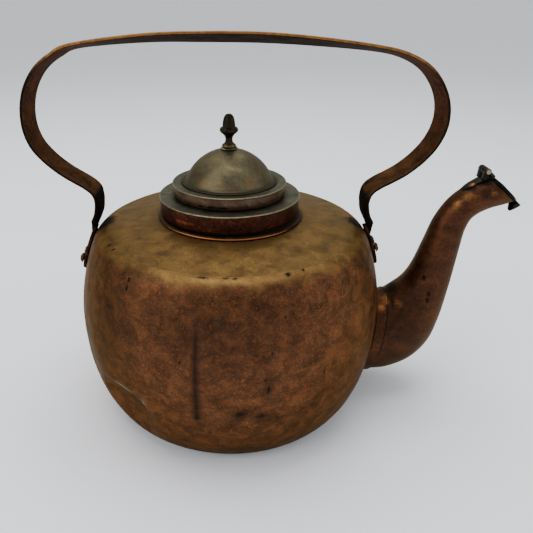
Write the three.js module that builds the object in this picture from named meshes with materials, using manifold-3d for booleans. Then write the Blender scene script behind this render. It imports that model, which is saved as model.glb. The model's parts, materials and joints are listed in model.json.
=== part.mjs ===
// Old hammered copper kettle: raised sheet body, gooseneck spout with a hinged flap, strap handle
// and a stepped lid with an acorn finial. Millimetres, +Z up. The origin is the centre of the flat
// base on the body's axis, and +X points to the spout.
import * as THREE from 'three';
import { mergeVertices } from 'three/addons/utils/BufferGeometryUtils.js';
import Module from 'manifold-3d';

const wasm = await Module();
wasm.setup();

const { Vector2, Vector3 } = THREE;
const degree = Math.PI / 180;

// ---------------------------------------------------------------- driving dimensions

// Body
const bellyRadius = 119; // widest radius, outside
const bellyHeight = 80; // height of the widest circle
const bodyHeight = 149.5; // height of the shoulder edge
const baseInset = 33; // belly radius less flat base radius
const shoulderInset = 17; // belly radius less shoulder edge radius
const shoulderPitch = 9 * degree; // slope of the shoulder cone
const shoulderRound = 8; // length of the rounded edge, each way from its corner
const bodySheet = 1.2; // sheet thickness of wall, shoulder and base
const seamGap = 0.3; // clearance between brazed pieces

// Neck and lid
const neckRadius = 50.4; // outside radius of the neck's upstand
const neckSheet = 1.2;
const neckRise = 14.8; // upstand above the shoulder
const neckTail = 4; // length of the neck below the shoulder plate
const neckFlangeWidth = 4.2;
const neckFlangeSheet = 1.3;
const lidSheet = 1.1;
const skirtClearance = 1.2; // between the lid's skirt and the neck, all round
const skirtDrop = 11.9; // depth of the skirt
const ledgeLip = 0.7; // how far each ledge stands out over its band
const ledgeLap = 3.5; // how far each ledge reaches in under the next tier
const stepRadius = 42.3; // outside radius of the second tier
const stepRise = 8.4;
const domeRadius = 33.3; // outside radius at its foot
const domeRise = 24;
const domeFlangeWidth = 2.6;

// Finial
const finialHeight = 24.6;
const finialShankRadius = 2.2;
const finialTailRadius = 3.8;
const finialTailHeight = 1.4;
const finialNutRadius = 4.7;
const finialNutHeight = 15; // foot of the nut above the finial's own foot
const washerRadius = 6.3;
const washerSheet = 0.8;
const pinClearance = 0.1; // radial clearance of pins and shanks in their holes

// Spout
const spoutFootHeight = 49; // centre of the spout's foot on the wall
const spoutMouthAboveShoulder = 27.9; // centre of the mouth above the shoulder edge
const spoutReach = 84.1; // centre of the mouth beyond the belly
const spoutFootHalfWidth = 29.5;
const spoutMouthRadius = 13.3;
const spoutSheet = 1.2;
const mouthTilt = 48.7 * degree; // the mouth's normal above the horizontal
const collarSheet = 1.2;
const collarGap = 0.5; // solder gap between the collar and the spout
const collarWidth = 9; // how far the collar stands out from the wall
const wallHoleLedge = 2; // how much the hole in the wall is smaller than the spout's bore

// Spout flap and its hinge
const barrelRadius = 2.6;
const barrelSetback = 4.4; // barrel centre beyond the mouth's upper edge
const barrelLift = 1.4; // barrel centre above the mouth's plane
const pinRadius = 1.1;
const pinHeadRadius = 1.8;
const pinHeadLength = 0.7;
const knuckleLength = 4.2; // three knuckles make the barrel
const knuckleGap = 0.25;
const barrelClearance = 0.6; // radial clearance round a turning knuckle
const flapLift = 0.9; // flap's underside above the mouth's plane
const flapSheet = 1.1;
const flapOverhang = 1.6; // how far the flap stands out past the rim
const lipReach = 7.6; // how far the thumb lip runs past the mouth's lower edge
const lipWidth = 12;
const lipCorner = 5; // length of the lip's rounded corners
const lipDrop = 7;
const lipSheet = 1.6;
const bracketWidth = 12;
const bracketSheet = 1.5;
const bracketLength = 17; // from the mouth back along the spout

// Handle
const strapWidth = 27;
const strapSheet = 2;
const strapTwist = 15 * degree; // twist of the top bar at mid span
const neckHalfWidth = 4.6; // half of the strap's blank where it is pinched
const foldRadius = 2.4; // bend radius of the folded ends
const neckLength = 4; // pinched length
const podRise = 10; // length over which the pinch widens to the full strap
const podWeb = 7; // half of the flat web between the folded legs, at the pod's foot
const webGrowth = 0.12; // growth of that half web per length of strap
const podLength = 31; // end of the folded length
const flareLength = 20; // length over which the fold opens flat
const leafSheet = 2.4;
const leftPinchDrop = 5; // the left pinch below the shoulder edge
const rightPinchDrop = 1; // the right pinch below the shoulder edge
const leafLength = 34; // from the pinch down to the tip
const leafHalfWidth = 12;
const leafTopHalfWidth = 3.6;
const leafWidestShare = 0.6; // how far down its length the leaf is widest
const leafBulge = 1.15; // fullness of the leaf's round end
const leafWaist = 8; // height over which the leaf narrows below the pinch

// Rivets
const leftRivetDrop = 23; // the left rivets below their pinch
const rightRivetDrop = 18; // the right rivets below their pinch
const rivetSpacing = 13; // between the two rivets of a foot
const rivetShankRadius = 1.9;
const rivetHeadRadius = 3.9;
const rivetHeadHeight = 2.7;
const rivetTailHeight = 1.5;
const burrRadius = 4.4;
const burrSheet = 1;

// Smoothness
const roundSides = 48;
const smallSides = 12;
const pinSides = 16;
const domeSides = 36;
const spoutSides = 18;
const strapSections = 56;

// ---------------------------------------------------------------- derived sizes

const baseRadius = bellyRadius - baseInset;
const shoulderRadius = bellyRadius - shoulderInset;
const shoulderTopAt = (radius) => bodyHeight + (shoulderRadius - radius) * Math.tan(shoulderPitch);
const neckTop = shoulderTopAt(neckRadius) + neckRise;
const ledgeBottom = neckTop + seamGap;
const skirtRadius = neckRadius + skirtClearance + lidSheet; // outside
const stepBottom = ledgeBottom + lidSheet;
const stepTop = stepBottom + stepRise;
const domeBottom = stepTop + lidSheet;
const domeTop = domeBottom + domeRise;

// ---------------------------------------------------------------- materials

const metal = (hex, roughness) => new THREE.MeshStandardMaterial({ color: hex, roughness, metalness: 1 });
const wallCopper = metal(0x7a4b2c, 0.48);
const shoulderCopper = metal(0x85653a, 0.42);
const darkCopper = metal(0x5a3a26, 0.5);
const lidCopper = metal(0x5d5640, 0.5);
const bandCopper = metal(0x5a2c1c, 0.45);
const finialBrass = metal(0x3a3026, 0.5);
const brightCopper = metal(0xa8643a, 0.4);
const blackIron = metal(0x241f1c, 0.6);

const kettle = new THREE.Group();

function place(name, geometry, material, parent = kettle) {
  const mesh = new THREE.Mesh(geometry, material);
  mesh.name = name;
  parent.add(mesh);
  return mesh;
}

// ---------------------------------------------------------------- solids and geometries

// Keeps only positions, merges shared corners and drops the triangles that close up on an axis.
function welded(geometry) {
  const bare = geometry.clone();
  bare.deleteAttribute('normal');
  bare.deleteAttribute('uv');
  const merged = mergeVertices(bare);
  const corners = Array.from(merged.index.array);
  const kept = [];
  for (let i = 0; i < corners.length; i += 3) {
    const [a, b, c] = corners.slice(i, i + 3);
    if (a !== b && b !== c && c !== a) kept.push(a, b, c);
  }
  merged.setIndex(kept);
  return merged;
}

function toSolid(geometry) {
  const merged = welded(geometry);
  const vertProperties = new Float32Array(merged.attributes.position.array);
  const triVerts = new Uint32Array(merged.index.array);
  return new wasm.Manifold(new wasm.Mesh({ numProp: 3, vertProperties, triVerts }));
}

function toGeometry(solid) {
  const mesh = solid.getMesh();
  const geometry = new THREE.BufferGeometry();
  geometry.setAttribute('position', new THREE.BufferAttribute(new Float32Array(mesh.vertProperties), 3));
  geometry.setIndex(new THREE.BufferAttribute(new Uint32Array(mesh.triVerts), 1));
  geometry.computeVertexNormals();
  return geometry;
}

// Turns a profile of [radius, height] points round the Z axis. The points run anticlockwise.
function turned(profile, sides = roundSides) {
  const points = profile.map(([radius, height]) => new Vector2(radius, height));
  return new THREE.LatheGeometry(points, sides).rotateX(90 * degree);
}

// Closes a ring-shaped profile on itself.
const ring = (profile, sides) => turned([...profile, profile[0]], sides);

// Moves every corner of a geometry by a rule.
function reshaped(geometry, rule) {
  const shape = welded(geometry);
  const positions = shape.attributes.position;
  for (let i = 0; i < positions.count; i += 1) {
    const moved = rule(new Vector3().fromBufferAttribute(positions, i));
    positions.setXYZ(i, moved.x, moved.y, moved.z);
  }
  return shape;
}

// A pin along Z, from z = low to z = high.
function rod(radius, low, high, sides = pinSides) {
  const cylinder = new THREE.CylinderGeometry(radius, radius, high - low, sides);
  return cylinder.rotateX(90 * degree).translate(0, 0, (low + high) / 2);
}

// ---------------------------------------------------------------- body outline

// Outside radius of the wall at a height: an ellipse below the belly and a flatter arc above it.
const crownRise = bodyHeight - bellyHeight;
const crownRadius = (crownRise ** 2 + shoulderInset ** 2) / (2 * shoulderInset);

function wallRadius(height) {
  if (height < bellyHeight) {
    const share = (bellyHeight - height) / bellyHeight;
    return baseRadius + baseInset * Math.sqrt(Math.max(0, 1 - share ** 2));
  }
  return bellyRadius - crownRadius + Math.sqrt(crownRadius ** 2 - (height - bellyHeight) ** 2);
}

// A flat burr stands off the wall by the wall's own curve under it and by the depth of a facet.
const facetDepth = bellyRadius * (1 - Math.cos(Math.PI / roundSides));
const wallCurve = 1 / crownRadius + 1 / bellyRadius;
const burrGap = seamGap / 2 + facetDepth + (burrRadius ** 2 / 2) * wallCurve;

// Outline of the wall from the flat base, round the shoulder edge, to the start of the cone.
function wallOutline() {
  const outline = [];
  const lowSteps = 6;
  for (let i = 0; i < lowSteps; i += 1) {
    const angle = (i / lowSteps) * 90 * degree;
    const height = bellyHeight * (1 - Math.cos(angle));
    outline.push(new Vector2(wallRadius(height), height));
  }
  const edge = bodyHeight - shoulderRound;
  const highSteps = 4;
  for (let i = 0; i <= highSteps; i += 1) {
    const height = bellyHeight + ((edge - bellyHeight) * i) / highSteps;
    outline.push(new Vector2(wallRadius(height), height));
  }
  const last = outline[outline.length - 1];
  const corner = new Vector2(shoulderRadius, bodyHeight);
  const innerRadius = shoulderRadius - shoulderRound;
  const start = new Vector2(innerRadius, shoulderTopAt(innerRadius));
  const round = new THREE.QuadraticBezierCurve(last, corner, start);
  const roundSteps = 3;
  outline.push(...round.getPoints(roundSteps).slice(1));
  return outline;
}

// Moves an outline sideways by a distance, outward when it is positive.
function offsetOutline(outline, distance) {
  return outline.map((point, i) => {
    const before = outline[Math.max(i - 1, 0)];
    const after = outline[Math.min(i + 1, outline.length - 1)];
    const along = after.clone().sub(before).normalize();
    return new Vector2(point.x + along.y * distance, point.y - along.x * distance);
  });
}

const outerWall = wallOutline();

// The whole body as one closed solid, grown by a distance. It only cuts and trims other pieces.
function bodyBlock(grow) {
  const outline = offsetOutline(outerWall, grow);
  const side = outline.map((point) => [point.x, point.y]);
  const crown = [0, shoulderTopAt(0) + grow];
  return toSolid(turned([[0, -grow], ...side, crown]));
}

// ---------------------------------------------------------------- spout line

// The spout is drawn by its upper and lower outlines in the middle plane. Each station gives a point
// of the upper outline, a point of the lower one, and how far the half width has grown from the
// mouth's to the foot's. Points are shares of the reach beyond the belly and of the rise from the
// foot's centre to the mouth's.
const spoutStations = [
  [-0.29, 0.21, -0.18, -0.25, 0.94],
  [-0.13, 0.25, 0.01, -0.25, 0.97],
  [-0.02, 0.27, 0.2, -0.24, 1],
  [0.08, 0.3, 0.42, -0.16, 1],
  [0.18, 0.35, 0.58, -0.03, 0.85],
  [0.27, 0.41, 0.66, 0.16, 0.54],
  [0.34, 0.51, 0.71, 0.36, 0.23],
  [0.4, 0.65, 0.74, 0.61, 0.06],
  [0.46, 0.8, 0.76, 0.74, -0.03],
  [0.57, 0.93, 0.8, 0.82, -0.09],
  [0.73, 1.02, 0.92, 0.87, -0.07],
  [0.94, 1.1, 1.06, 0.9, 0],
];
const spoutMouthHeight = bodyHeight + spoutMouthAboveShoulder;
const spoutRise = spoutMouthHeight - spoutFootHeight;
const spoutWiden = spoutFootHalfWidth - spoutMouthRadius;
const spoutPoint = (reach, rise) => new Vector3(
  bellyRadius + spoutReach * reach,
  0,
  spoutFootHeight + spoutRise * rise,
);
const upperLine = new THREE.CatmullRomCurve3(spoutStations.map(([x, z]) => spoutPoint(x, z)));
const lowerLine = new THREE.CatmullRomCurve3(spoutStations.map(([, , x, z]) => spoutPoint(x, z)));
const spoutSpans = spoutStations.length - 1;
// The outlines narrow or widen towards the mouth so that it has its own radius in this plane too.
const outlineMouth = upperLine.getPoint(1).distanceTo(lowerLine.getPoint(1)) / 2;
const mouthScale = spoutMouthRadius / outlineMouth;

// Centre, upward half axis and half width of the section at a share of the stations. Past the mouth
// the tube runs on straight.
function spoutAt(share) {
  const inside = THREE.MathUtils.clamp(share, 0, 1);
  const upper = upperLine.getPoint(inside);
  const lower = lowerLine.getPoint(inside);
  const centre = upper.clone().add(lower).multiplyScalar(0.5);
  const half = upper.sub(lower).multiplyScalar(THREE.MathUtils.lerp(1, mouthScale, inside) / 2);
  const along = new Vector3(half.z, 0, -half.x).normalize();
  const past = (share - inside) * spoutSpans * spoutMouthRadius;
  const station = Math.min(Math.floor(inside * spoutSpans), spoutSpans - 1);
  const between = inside * spoutSpans - station;
  const [widen, nextWiden] = [spoutStations[station][4], spoutStations[station + 1][4]];
  const halfWidth = spoutMouthRadius + spoutWiden * THREE.MathUtils.lerp(widen, nextWiden, between);
  centre.addScaledVector(along, past);
  return { centre, half, along, halfWidth };
}

// A plain bar bent along the spout, its skin grown by a distance. It runs between two of the evenly
// spaced sections along the line, so that bars of different skin share their facets.
const sectionsPerSpan = 2;
const spoutSections = spoutSpans * sectionsPerSpan;
const pastMouth = spoutSections + sectionsPerSpan;
const footSpans = 5; // spans from the tube's inner end to beyond the collar
const spoutFootSections = footSpans * sectionsPerSpan;

function spoutBar(grow, first = 0, last = pastMouth) {
  const cylinder = new THREE.CylinderGeometry(1, 1, 1, spoutSides, last - first);
  const bar = reshaped(cylinder, (corner) => {
    const share = (first + (last - first) * (corner.y + 0.5)) / spoutSections;
    const { centre, half, halfWidth } = spoutAt(share);
    const height = half.length() + grow;
    const moved = centre.addScaledVector(half.normalize(), height * corner.x);
    moved.y += (halfWidth + grow) * corner.z;
    return moved;
  });
  return toSolid(bar);
}

// The mouth's own frame: x runs down its slope, y across it and z out of it.
const mouthCentre = spoutAt(1).centre;
const mouthFrame = new THREE.Group();
mouthFrame.position.copy(mouthCentre);
mouthFrame.rotation.y = 90 * degree - mouthTilt;
mouthFrame.updateMatrixWorld();
kettle.add(mouthFrame);
const inMouthFrame = (geometry) => geometry.clone().applyMatrix4(mouthFrame.matrixWorld);

// A big block that covers everything beyond the mouth's plane.
const blockSize = 120;
const beyondMouth = toSolid(inMouthFrame(
  new THREE.BoxGeometry(blockSize, blockSize, blockSize).translate(0, 0, blockSize / 2),
));

// Half of the mouth's long axis, where the slanted plane cuts the round tube.
const spoutEnd = spoutAt(1);
const mouthNormal = new Vector3(Math.cos(mouthTilt), 0, Math.sin(mouthTilt));
const mouthHalfLength = spoutMouthRadius / spoutEnd.along.dot(mouthNormal);

// ---------------------------------------------------------------- rivets and their places

// A seat on the wall: its group's +Z is the wall's outward normal, and its origin is on the wall.
function wallSeat(side, across, height) {
  const radius = wallRadius(height);
  const slope = (wallRadius(height + 0.5) - wallRadius(height - 0.5));
  const outward = new Vector3(side * Math.sqrt(radius ** 2 - across ** 2), across, -slope * radius);
  const seat = new THREE.Group();
  seat.position.set(outward.x, across, height);
  seat.quaternion.setFromUnitVectors(new Vector3(0, 0, 1), outward.normalize());
  seat.updateMatrixWorld();
  return seat;
}

// ---------------------------------------------------------------- handle line

// Points of the strap's centreline on each side, as distances beyond the shoulder edge and above
// it, from the pinched neck up through the folded end and round the lobe. The two sides differ,
// because the strap is bent by hand.
const leftSide = [
  [4.4, -7.5], [3, -3], [0.2, 3.5], [-2.2, 10.5], [-2.6, 19.5], [-0.6, 26.5], [5, 31.8], [12, 36.3],
  [20.5, 42], [30.5, 50.8], [38.5, 61.5], [42, 74], [41.3, 88], [36.8, 101.5], [28.5, 113.2],
  [17, 121.6], [2, 127.6],
];
const rightSide = [
  [5.7, -8.5], [5, -3], [3.6, 1.5], [1, 7], [-0.4, 13.5], [-0.3, 21], [2.4, 27.6], [8.5, 32.4], [16.5, 36.8],
  [25.5, 42.4], [36, 51.8], [44.2, 63.2], [48.3, 76.5], [47, 90.5], [41, 103.3], [31, 114],
  [16.5, 121.4], [-2, 125.6],
];
// Points of the top bar, as places along X and heights above the shoulder edge.
const topBar = [[-58, 132.2], [-18, 133], [24, 132.4], [64, 129.6]];

const strapPoint = (x, above) => new Vector3(x, 0, bodyHeight + above);
const strapLine = new THREE.CatmullRomCurve3([
  ...leftSide.map(([out, above]) => strapPoint(-shoulderRadius - out, above)),
  ...topBar.map(([x, above]) => strapPoint(x, above)),
  ...rightSide.map(([out, above]) => strapPoint(shoulderRadius + out, above)).reverse(),
]);
strapLine.arcLengthDivisions = 600;
const strapLength = strapLine.getLength();

const smooth = (share) => THREE.MathUtils.smoothstep(share, 0, 1);

// Half of the blank's width, half of the web that stays flat, and how strongly the legs beside it
// are folded, by the distance from the nearer end.
function strapSection(fromEnd) {
  const widening = smooth((fromEnd - neckLength) / podRise);
  const halfWidth = THREE.MathUtils.lerp(neckHalfWidth, strapWidth / 2, widening);
  const web = (podWeb + webGrowth * fromEnd) * widening;
  const opening = smooth((fromEnd - podLength + flareLength / 2) / flareLength);
  return { halfWidth, web, bend: (1 - opening) / foldRadius };
}

// The strap: a flat bar carried along its line, twisted on top and folded lengthwise at its ends.
function strapBar() {
  const endDensity = 0.3;
  const flatBend = 1e-4;
  const flatBar = new THREE.BoxGeometry(2, 2, strapSheet, strapSections, 8, 1);
  return reshaped(flatBar, (corner) => {
    const run = corner.x * (1 + endDensity - endDensity * corner.x ** 2);
    const share = Math.min(1, Math.max(0, (run + 1) / 2));
    const centre = strapLine.getPointAt(share);
    const along = strapLine.getTangentAt(share);
    const out = new Vector3(-along.z, 0, along.x);
    const fromEnd = Math.min(share, 1 - share) * strapLength;
    const { halfWidth, web, bend } = strapSection(fromEnd);
    const across = corner.y * halfWidth;
    const leg = Math.max(0, Math.abs(across) - web);
    const wrap = Math.min(leg * bend, 90 * degree);
    let sideways = across;
    let outward = 0;
    if (bend > flatBend) {
      sideways = Math.sign(across) * (Math.abs(across) - leg + Math.sin(wrap) / bend);
      outward = (1 - Math.cos(wrap)) / bend + leg - wrap / bend;
    }
    sideways -= Math.sign(across) * Math.sin(wrap) * corner.z;
    outward += Math.cos(wrap) * corner.z;
    const twist = strapTwist * Math.cos(corner.x * 90 * degree) ** 4;
    const turnedOut = outward * Math.cos(twist) - sideways * Math.sin(twist);
    const turnedSideways = sideways * Math.cos(twist) + outward * Math.sin(twist);
    const moved = centre.addScaledVector(out, turnedOut);
    moved.y += turnedSideways;
    return moved;
  });
}

const feet = [
  { name: 'left', side: -1, pinchHeight: bodyHeight - leftPinchDrop, rivetDrop: leftRivetDrop },
  { name: 'right', side: 1, pinchHeight: bodyHeight - rightPinchDrop, rivetDrop: rightRivetDrop },
];
for (const foot of feet) {
  const rivetHeight = foot.pinchHeight - foot.rivetDrop;
  foot.seats = [-1, 1].map((way) => wallSeat(foot.side, (way * rivetSpacing) / 2, rivetHeight));
}

// A drill through the wall at every rivet.
const drillReach = 10;
const rivetHoles = feet.flatMap((foot) => foot.seats.map((seat) => {
  const drill = rod(rivetShankRadius + seamGap, -drillReach, drillReach);
  return toSolid(drill.applyMatrix4(seat.matrixWorld));
}));

// ---------------------------------------------------------------- body pieces

function bodyWall() {
  const inner = offsetOutline(outerWall, -bodySheet);
  inner[0].set(baseRadius, bodySheet);
  const profile = [...outerWall, ...inner.reverse()].map((point) => [point.x, point.y]);
  let wall = toSolid(ring(profile));
  const hole = spoutBar(-spoutSheet - wallHoleLedge, 0, spoutFootSections);
  wall = wall.subtract(hole);
  for (const drill of rivetHoles) wall = wall.subtract(drill);
  return toGeometry(wall);
}

function basePlate() {
  const radius = baseRadius - seamGap;
  return turned([[0, 0], [radius, 0], [radius, bodySheet], [0, bodySheet]]);
}

function shoulderPlate() {
  const outer = shoulderRadius - shoulderRound - seamGap;
  const inner = neckRadius + seamGap;
  const top = [outer, inner].map((radius) => new Vector2(radius, shoulderTopAt(radius)));
  const under = offsetOutline(top, -bodySheet).reverse();
  return ring([...top, ...under].map((point) => [point.x, point.y]));
}

function neckRing() {
  const inner = neckRadius - neckSheet;
  const flange = neckRadius + neckFlangeWidth;
  const low = shoulderTopAt(neckRadius) - bodySheet - neckTail;
  const under = (radius) => shoulderTopAt(radius) + seamGap;
  return ring([
    [inner, low],
    [neckRadius, low],
    [neckRadius, under(neckRadius)],
    [flange, under(flange)],
    [flange, under(flange) + neckFlangeSheet],
    [neckRadius, under(neckRadius) + neckFlangeSheet],
    [neckRadius, neckTop],
    [inner, neckTop],
  ]);
}

place('body_wall', bodyWall(), wallCopper);
place('base_plate', basePlate(), darkCopper);
place('shoulder_plate', shoulderPlate(), shoulderCopper);
place('neck_ring', neckRing(), brightCopper);

// ---------------------------------------------------------------- spout pieces

function spoutTube() {
  const tube = spoutBar(0).subtract(spoutBar(-spoutSheet, -1, pastMouth + 1));
  return toGeometry(tube.subtract(beyondMouth).subtract(bodyBlock(seamGap)));
}

function spoutCollar() {
  const inside = collarGap;
  const sleeve = spoutBar(inside + collarSheet, 0, spoutFootSections).subtract(spoutBar(inside));
  const band = sleeve.intersect(bodyBlock(seamGap + collarWidth));
  return toGeometry(band.subtract(bodyBlock(seamGap)));
}

place('spout_tube', spoutTube(), darkCopper);
place('spout_collar', spoutCollar(), brightCopper);

// ---------------------------------------------------------------- flap and hinge

const barrelX = -mouthHalfLength - barrelSetback;
const barrelAt = (geometry) => geometry.rotateX(90 * degree).translate(barrelX, 0, barrelLift);

// A length of barrel between two places across the mouth.
const knuckle = (radius, low, high) => barrelAt(rod(radius, low, high));

function flapPlate() {
  const rim = spoutMouthRadius + flapOverhang;
  const lipX = mouthHalfLength + lipReach - lipSheet;
  const hingeTurn = 143 * degree; // where the disc leaves for the hinge, and for the lip
  const lipTurn = 40 * degree;
  const outline = new THREE.Shape();
  outline.moveTo(barrelX, -knuckleLength / 2);
  outline.absarc(0, 0, rim, -hingeTurn, -lipTurn, false);
  outline.lineTo(lipX - lipCorner, -lipWidth / 2);
  outline.quadraticCurveTo(lipX, -lipWidth / 3, lipX, 0);
  outline.quadraticCurveTo(lipX, lipWidth / 3, lipX - lipCorner, lipWidth / 2);
  outline.absarc(0, 0, rim, lipTurn, hingeTurn, false);
  outline.lineTo(barrelX, knuckleLength / 2);
  const plate = new THREE.ExtrudeGeometry(outline, { depth: flapSheet, bevelEnabled: false, curveSegments: 10 });
  return plate.translate(0, 0, flapLift);
}

// The thumb lip: a short wall bent down along the flap's outer edge.
function flapLip() {
  const lipX = mouthHalfLength + lipReach;
  const edge = (x) => [
    new Vector2(x - lipCorner, lipWidth / 2),
    new Vector2(x, lipWidth / 3),
    new Vector2(x, 0),
  ];
  const outline = new THREE.Shape();
  const [outerSide, outerBend, outerFront] = edge(lipX);
  const [innerSide, innerBend, innerFront] = edge(lipX - lipSheet);
  outline.moveTo(outerSide.x, -outerSide.y);
  outline.quadraticCurveTo(outerBend.x, -outerBend.y, outerFront.x, 0);
  outline.quadraticCurveTo(outerBend.x, outerBend.y, outerSide.x, outerSide.y);
  outline.lineTo(innerSide.x, innerSide.y);
  outline.quadraticCurveTo(innerBend.x, innerBend.y, innerFront.x, 0);
  outline.quadraticCurveTo(innerBend.x, -innerBend.y, innerSide.x, -innerSide.y);
  const depth = lipDrop + flapSheet;
  const wall = new THREE.ExtrudeGeometry(outline, { depth, bevelEnabled: false, curveSegments: 8 });
  return wall.translate(0, 0, flapLift - lipDrop);
}

function spoutFlap() {
  const half = knuckleLength / 2 - knuckleGap / 2;
  const plate = toSolid(flapPlate()).add(toSolid(flapLip()));
  const sides = knuckleLength * 1.5;
  const gap = barrelRadius + barrelClearance;
  const besides = [-1, 1].map((way) => {
    const clear = new THREE.BoxGeometry(2 * gap, sides, 2 * gap);
    return toSolid(clear.translate(barrelX, way * (half + sides / 2), barrelLift));
  });
  let flap = plate.subtract(besides[0]).subtract(besides[1]);
  flap = flap.add(toSolid(knuckle(barrelRadius, -half, half)));
  flap = flap.subtract(toSolid(knuckle(pinRadius + pinClearance, -half - 1, half + 1)));
  return toGeometry(flap);
}

function hingePin() {
  const half = 1.5 * knuckleLength + seamGap;
  const headEnd = half + pinHeadLength;
  const profile = [
    [0, -headEnd],
    [pinHeadRadius, -headEnd],
    [pinHeadRadius, -half],
    [pinRadius, -half],
    [pinRadius, half],
    [pinHeadRadius, half],
    [pinHeadRadius, headEnd],
    [0, headEnd],
  ];
  return barrelAt(turned(profile, pinSides));
}

// The bracket: a strap lying on the spout's top side, with a web that carries the outer knuckles.
function hingeBracket() {
  const half = 1.5 * knuckleLength;
  const backX = barrelX - bracketLength;
  const lying = new THREE.BoxGeometry(bracketLength + barrelSetback, bracketWidth, blockSize / 2);
  lying.translate((backX + barrelX + barrelSetback) / 2, 0, 0);
  const lap = spoutBar(seamGap + bracketSheet).subtract(spoutBar(seamGap));
  const upper = new THREE.BoxGeometry(blockSize, blockSize, blockSize / 2);
  const nearMouth = 0.9; // a share of the spout's line
  const above = spoutAt(nearMouth).centre;
  upper.translate(above.x, 0, above.z + blockSize / 4);
  let bracket = lap.intersect(toSolid(inMouthFrame(lying))).intersect(toSolid(upper));
  bracket = bracket.subtract(beyondMouth);
  const webHeight = 6 * barrelRadius;
  const webLength = 1.6 * barrelRadius;
  const web = new THREE.BoxGeometry(webLength, 2 * half, webHeight);
  web.translate(barrelX - webLength / 4, 0, barrelLift - webHeight / 2);
  bracket = bracket.add(toSolid(inMouthFrame(web)));
  bracket = bracket.add(toSolid(inMouthFrame(knuckle(barrelRadius, -half, half))));
  const gap = barrelRadius + barrelClearance;
  const slot = barrelAt(rod(gap, -knuckleLength / 2 - knuckleGap / 2, knuckleLength / 2 + knuckleGap / 2));
  const bore = knuckle(pinRadius + pinClearance, -half - 1, half + 1);
  bracket = bracket.subtract(toSolid(inMouthFrame(slot))).subtract(toSolid(inMouthFrame(bore)));
  return toGeometry(bracket.subtract(spoutBar(seamGap)));
}

place('hinge_bracket', hingeBracket(), blackIron);
place('hinge_pin', hingePin(), blackIron, mouthFrame);
place('spout_flap', spoutFlap(), blackIron, mouthFrame);

// ---------------------------------------------------------------- handle and rivets

// A leaf lying on the wall below the pinch, cut to its outline from a skin round the body.
function leaf(foot) {
  const { pinchHeight } = foot;
  const top = pinchHeight + neckLength;
  const widest = pinchHeight - leafLength * leafWidestShare;
  const tip = pinchHeight - leafLength;
  const low = tip + leafHalfWidth / 2;
  const waist = leafTopHalfWidth * leafBulge;
  const full = leafHalfWidth * leafBulge;
  const outline = new THREE.Shape();
  outline.moveTo(-leafTopHalfWidth, top);
  outline.lineTo(-leafTopHalfWidth, pinchHeight);
  outline.quadraticCurveTo(-waist, widest + leafWaist, -leafHalfWidth, widest);
  outline.bezierCurveTo(-full, low, -leafHalfWidth / 2, tip, 0, tip);
  outline.bezierCurveTo(leafHalfWidth / 2, tip, full, low, leafHalfWidth, widest);
  outline.quadraticCurveTo(waist, widest + leafWaist, leafTopHalfWidth, pinchHeight);
  outline.lineTo(leafTopHalfWidth, top);
  const prism = new THREE.ExtrudeGeometry(outline, { depth: bellyRadius, bevelEnabled: false, curveSegments: 6 });
  prism.rotateX(90 * degree).rotateZ(90 * degree * foot.side);
  prism.translate(foot.side * (shoulderRadius - leafSheet / 2), 0, 0);
  return toSolid(prism).intersect(bodyBlock(seamGap + leafSheet));
}

function handle() {
  let solid = toSolid(strapBar());
  for (const foot of feet) solid = solid.add(leaf(foot));
  solid = solid.subtract(bodyBlock(seamGap));
  for (const drill of rivetHoles) solid = solid.subtract(drill);
  return toGeometry(solid);
}

function rivet() {
  const seat = 2 * seamGap + leafSheet;
  const tailRadius = rivetHeadRadius * 0.8;
  const tailTop = -bodySheet - burrGap - burrSheet - seamGap / 3;
  const headSteps = 4;
  const head = [];
  for (let i = 1; i <= headSteps; i += 1) {
    const angle = (i / headSteps) * 90 * degree;
    head.push([rivetHeadRadius * Math.cos(angle), seat + rivetHeadHeight * Math.sin(angle)]);
  }
  return turned([
    [0, tailTop - rivetTailHeight],
    [tailRadius * 0.75, tailTop - rivetTailHeight],
    [tailRadius, tailTop],
    [rivetShankRadius, tailTop],
    [rivetShankRadius, seat],
    [rivetHeadRadius, seat],
    ...head,
  ], smallSides);
}

function burr(outer, hole, low, high) {
  return ring([[hole, low], [outer, low], [outer, high], [hole, high]], smallSides);
}

place('handle_strap', handle(), darkCopper);
for (const foot of feet) {
  foot.seats.forEach((seat, i) => {
    kettle.add(seat);
    const high = -bodySheet - burrGap;
    const hole = rivetShankRadius + pinClearance;
    place(`rivet_${foot.name}_${i + 1}`, rivet(), brightCopper, seat);
    place(`rivet_burr_${foot.name}_${i + 1}`, burr(burrRadius, hole, high - burrSheet, high), brightCopper, seat);
  });
}

// ---------------------------------------------------------------- lid

// A short upright band of sheet.
const band = (outer, low, high) => ring([
  [outer - lidSheet, low],
  [outer, low],
  [outer, high],
  [outer - lidSheet, high],
]);

// A flat ring of sheet laid on a band.
const ledge = (outer, inner, low) => ring([
  [inner, low],
  [outer, low],
  [outer, low + lidSheet],
  [inner, low + lidSheet],
]);

// Radius of the sphere that the dome's skin is a cap of.
const sphereOf = (radius, rise) => (rise ** 2 + radius ** 2) / (2 * rise);
const innerSphere = sphereOf(domeRadius - lidSheet, domeRise - lidSheet);

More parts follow.
